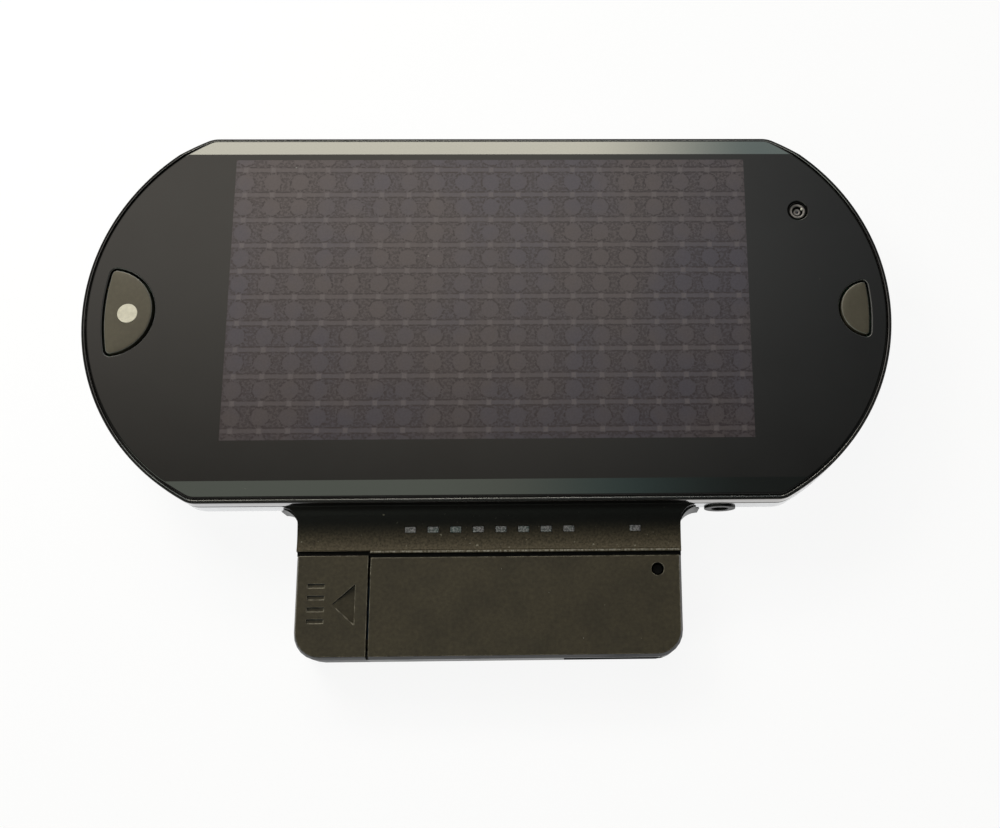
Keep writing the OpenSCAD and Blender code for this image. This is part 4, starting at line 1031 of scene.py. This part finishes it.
metals = {
    "chassis": ("chassisGrey", dict(tone=grey(0.5), other=(0.45, 0.45, 0.46), dark=grey(0.3), rough=0.32)),
    "steel": ("slideSteel", dict(tone=(0.55, 0.55, 0.56), other=(0.48, 0.48, 0.49), dark=(0.3, 0.3, 0.31),
                                 rough=0.22)),
    "screw": ("screwDark", dict(tone=(0.16, 0.16, 0.165), other=grey(0.2), dark=grey(0.08), rough=0.3,
                                brush=(2.5, 2.5, 2.5), wornAndHighlight=grey(0.5))),
    "contact": ("contactGold", dict(tone=(0.78, 0.56, 0.22), other=(0.72, 0.5, 0.18), dark=(0.5, 0.33, 0.1),
                                    rough=0.2, brush=(3.0, 3.0, 3.0))),
    "port_metal": ("portNickel", dict(tone=(0.62, 0.63, 0.65), other=(0.56, 0.57, 0.6), dark=(0.4, 0.4, 0.42),
                                      rough=0.2)),
}
windowLook = dict(tone=(0.12, 0.11, 0.118), other=(0.075, 0.11, 0.108), drift=5.5, flake=(0.5, 0.485, 0.51))
finishes = {slotName: mouldedPlastic(*look) for slotName, look in plastics.items()}
finishes.update({slotName: brushedMetal(*look) for slotName, look in metals.items()})
finishes["control"] = controlFinish
finishes["board"] = boardFinish("boardGreen")
finishes["light_window"] = windowFinish("windowMilk", windowLook)


windowSteps = [(0, 0.8), (0, 0.12), (0.04, 0.05), (0.12, 0.02), (0.3, 0.0)]  # (shrink, drop)


def makeWindows(name, node, s, centres):
    bm = bmesh.new()
    w, h = s["lightW"] / 2, s["lightH"] / 2
    for cx in centres:
        loops = []
        for shrink, drop in windowSteps:
            a, b = w - shrink, h - shrink
            ring = roundCorners([(-a, -b), (a, -b), (a, b), (-a, b)], max(s["lightR"] - shrink, 0.05))
            ring = [(cx + x, s["lightY"] + y) for x, y in ring]
            loops.append(addLoop(bm, [(x, y, neckHeight(cx, y) - 0.02 - drop) for x, y in ring]))
        stackSolid(bm, loops)
    piece = shapedPiece(name, bm)
    return dress(piece, "deck", "light_window", finishes["light_window"], node)


makeWindows("statusWindowPads", "status_windows", neckShape, statusAt)
makeWindows("chargeWindowPad", "charge_window", neckShape, [neckShape["charge"]])
edgeWidth = {"board": 0, "shoulder_left": 0.45, "shoulder_right": 0.45, "module_plate": 0.18,
             "battery_door": 0.18,
             "headphone_jack": 0.2}
paintedShadeSlot = {"reset_button": "pin_well"}  # painted shade: darker than its own plastic, since it sits down in its hole
slotOf = {part["node"]: part["material_slot"] for part in frame["record"]["subparts"]}
for name, piece in frame["nodes"].items():
    if piece.hide_render:
        continue
    piece.data.materials.clear()
    piece.data.materials.append(finishes[paintedShadeSlot.get(name, slotOf[name])])
    softenEdges(piece, edgeWidth.get(name, edgeWidth.get(slotOf[name], 0.1)))
print("solids dressed:", len(slotOf), "nodes in the record")

# floor, light and camera
floorLook = dict(size=3.0, tone=grey(0.88), other=(0.86, 0.86, 0.862), glow=0.9)


def makeFloor(look):
    bm = bmesh.new()
    bmesh.ops.create_grid(bm, x_segments=8, y_segments=8, size=look["size"])
    piece = newPiece("floor", bm)
    material, tree, shader = newMaterial("floorPaper")
    tone = twoTones(tree, look["tone"], look["other"], 300.0)
    setInput(tree, shader.inputs["Base Color"], tone)
    shader.inputs["Roughness"].default_value = 0.9
    bumpFrom(tree, shader, noise(tree, millimetres(tree), 1.0, 3), 0.02)
    path = addNode(tree, "LightPath").outputs
    seen = calc(tree, "MAXIMUM", path["Is Glossy Ray"], path["Is Transmission Ray"])
    seen = calc(tree, "MAXIMUM", seen, path["Is Camera Ray"])
    white = addNode(tree, "Emission", {"Color": (1, 1, 1), "Strength": 1.0})
    mix = addNode(tree, "MixShader", {0: product(tree, seen, look["glow"])})
    tree.links.new(shader.outputs[0], mix.inputs[1])
    tree.links.new(white.outputs[0], mix.inputs[2])
    tree.links.new(mix.outputs[0], tree.nodes["Material Output"].inputs[0])
    piece.data.materials.append(material)


skyLook = dict(warm=(1.0, 0.93, 0.83), cool=(0.92, 0.97, 1.0), left=1.3, right=0.3, low=0.16, high=1.12,
               front=(1.75, 1.92, 1.62), frontRight=(1.1, 1.85, 1.75),
               frontFrom=(-0.22, -0.31), frontTo=(-0.62, -0.48), box=(10.6, 10.2, 8.5),
               boxRight=(2.1, 2.55, 2.4),
               boxFrom=(0.79, 0.81), boxTo=(0.895, 0.87), boxLeftEnd=(-0.52, -0.44), boxRightEnd=(0.45, 0.3))


def makeSky(look):  # soft room: brighter at the left, dim overhead, one long softbox low behind
    world = bpy.data.worlds.new("studio")
    scene.world = world
    world.use_nodes = True
    tree = world.node_tree
    x, y, z = axes(tree, addNode(tree, "TexCoord").outputs["Generated"])
    level = product(tree, stretch(tree, x, -0.1, 0.3, look["left"], look["right"]),
                 stretch(tree, y, 0.1, 0.42, look["low"], look["high"]))
    level = product(tree, level, stretch(tree, y, 0.45, 0.65, 1.0, 0.4),
                    stretch(tree, calc(tree, "ABSOLUTE", x), 0.45, 0.75, 1.0, 0.3))
    tint = blendColours(tree, stretch(tree, x, -0.1, 0.3), look["warm"], look["cool"])
    base = shaded(tree, tint, level)
    front = product(tree, stretch(tree, y, *look["frontFrom"]), stretch(tree, y, *look["frontTo"]),
                    stretch(tree, x, -0.12, 0.16, 1.0, 0.04))
    ahead = blendColours(tree, stretch(tree, x, -0.06, 0.08), look["front"], look["frontRight"])
    base = blendColours(tree, front, base, ahead)
    lean = calc(tree, "DIVIDE", y, hypotenuse(tree, y, z))
    tall = product(tree, stretch(tree, lean, *look["boxFrom"]), stretch(tree, lean, *look["boxTo"]))
    wide = product(tree, stretch(tree, x, *look["boxLeftEnd"]), stretch(tree, x, *look["boxRightEnd"]))
    box = product(tree, tall, wide, stretch(tree, z, 0.0, 0.05))
    glow = blendColours(tree, stretch(tree, x, 0.0, 0.15), look["box"], look["boxRight"])
    back = tree.nodes["Background"]
    setInput(tree, back.inputs["Color"], blendColours(tree, box, base, glow))
    back.inputs["Strength"].default_value = 1.0


lampLook = dict(place=(-0.23, 0.22, 0.24), size=0.2, power=1.15, tone=(1.0, 0.98, 0.94))


def makeLamp(look):
    lamp = bpy.data.lights.new("softLamp", "AREA")
    lamp.shape, lamp.size, lamp.energy, lamp.color = "DISK", look["size"], look["power"], look["tone"]
    holder = bpy.data.objects.new("softLamp", lamp)
    scene.collection.objects.link(holder)
    holder.visible_glossy = False
    holder.location = look["place"]
    holder.rotation_mode = "QUATERNION"
    holder.rotation_quaternion = (-Vector(look["place"])).to_track_quat("-Z", "Y")


viewLook = dict(focal=1270.18, turn=(-14.6691, 1.4223, 0.5431), shift=(-23.343, 19.889, -269.006),
                middle=(600.0, 405.0), width=1000.0, height=828.0)


def makeCamera(look):
    turn = Vector([math.radians(a) for a in look["turn"]])
    rotation = Matrix.Rotation(turn.length, 3, turn.normalized())
    lens = bpy.data.cameras.new("photoView")
    lens.sensor_width = 36.0
    lens.lens = 36.0 * look["focal"] / look["width"]
    lens.shift_x = (look["width"] / 2 - look["middle"][0]) / look["width"]
    lens.shift_y = (look["middle"][1] - look["height"] / 2) / look["width"]
    lens.clip_start = 0.01
    holder = bpy.data.objects.new("photoView", lens)
    scene.collection.objects.link(holder)
    back = rotation.transposed()
    place = -(back @ Vector(look["shift"])) + Vector((0, 0, glassHigh.z))
    holder.matrix_world = Matrix.Translation(place * mm) @ back.to_4x4()
    scene.camera = holder


makeFloor(floorLook)
makeSky(skyLook)
makeLamp(lampLook)
makeCamera(viewLook)
print("floor, light and camera made")
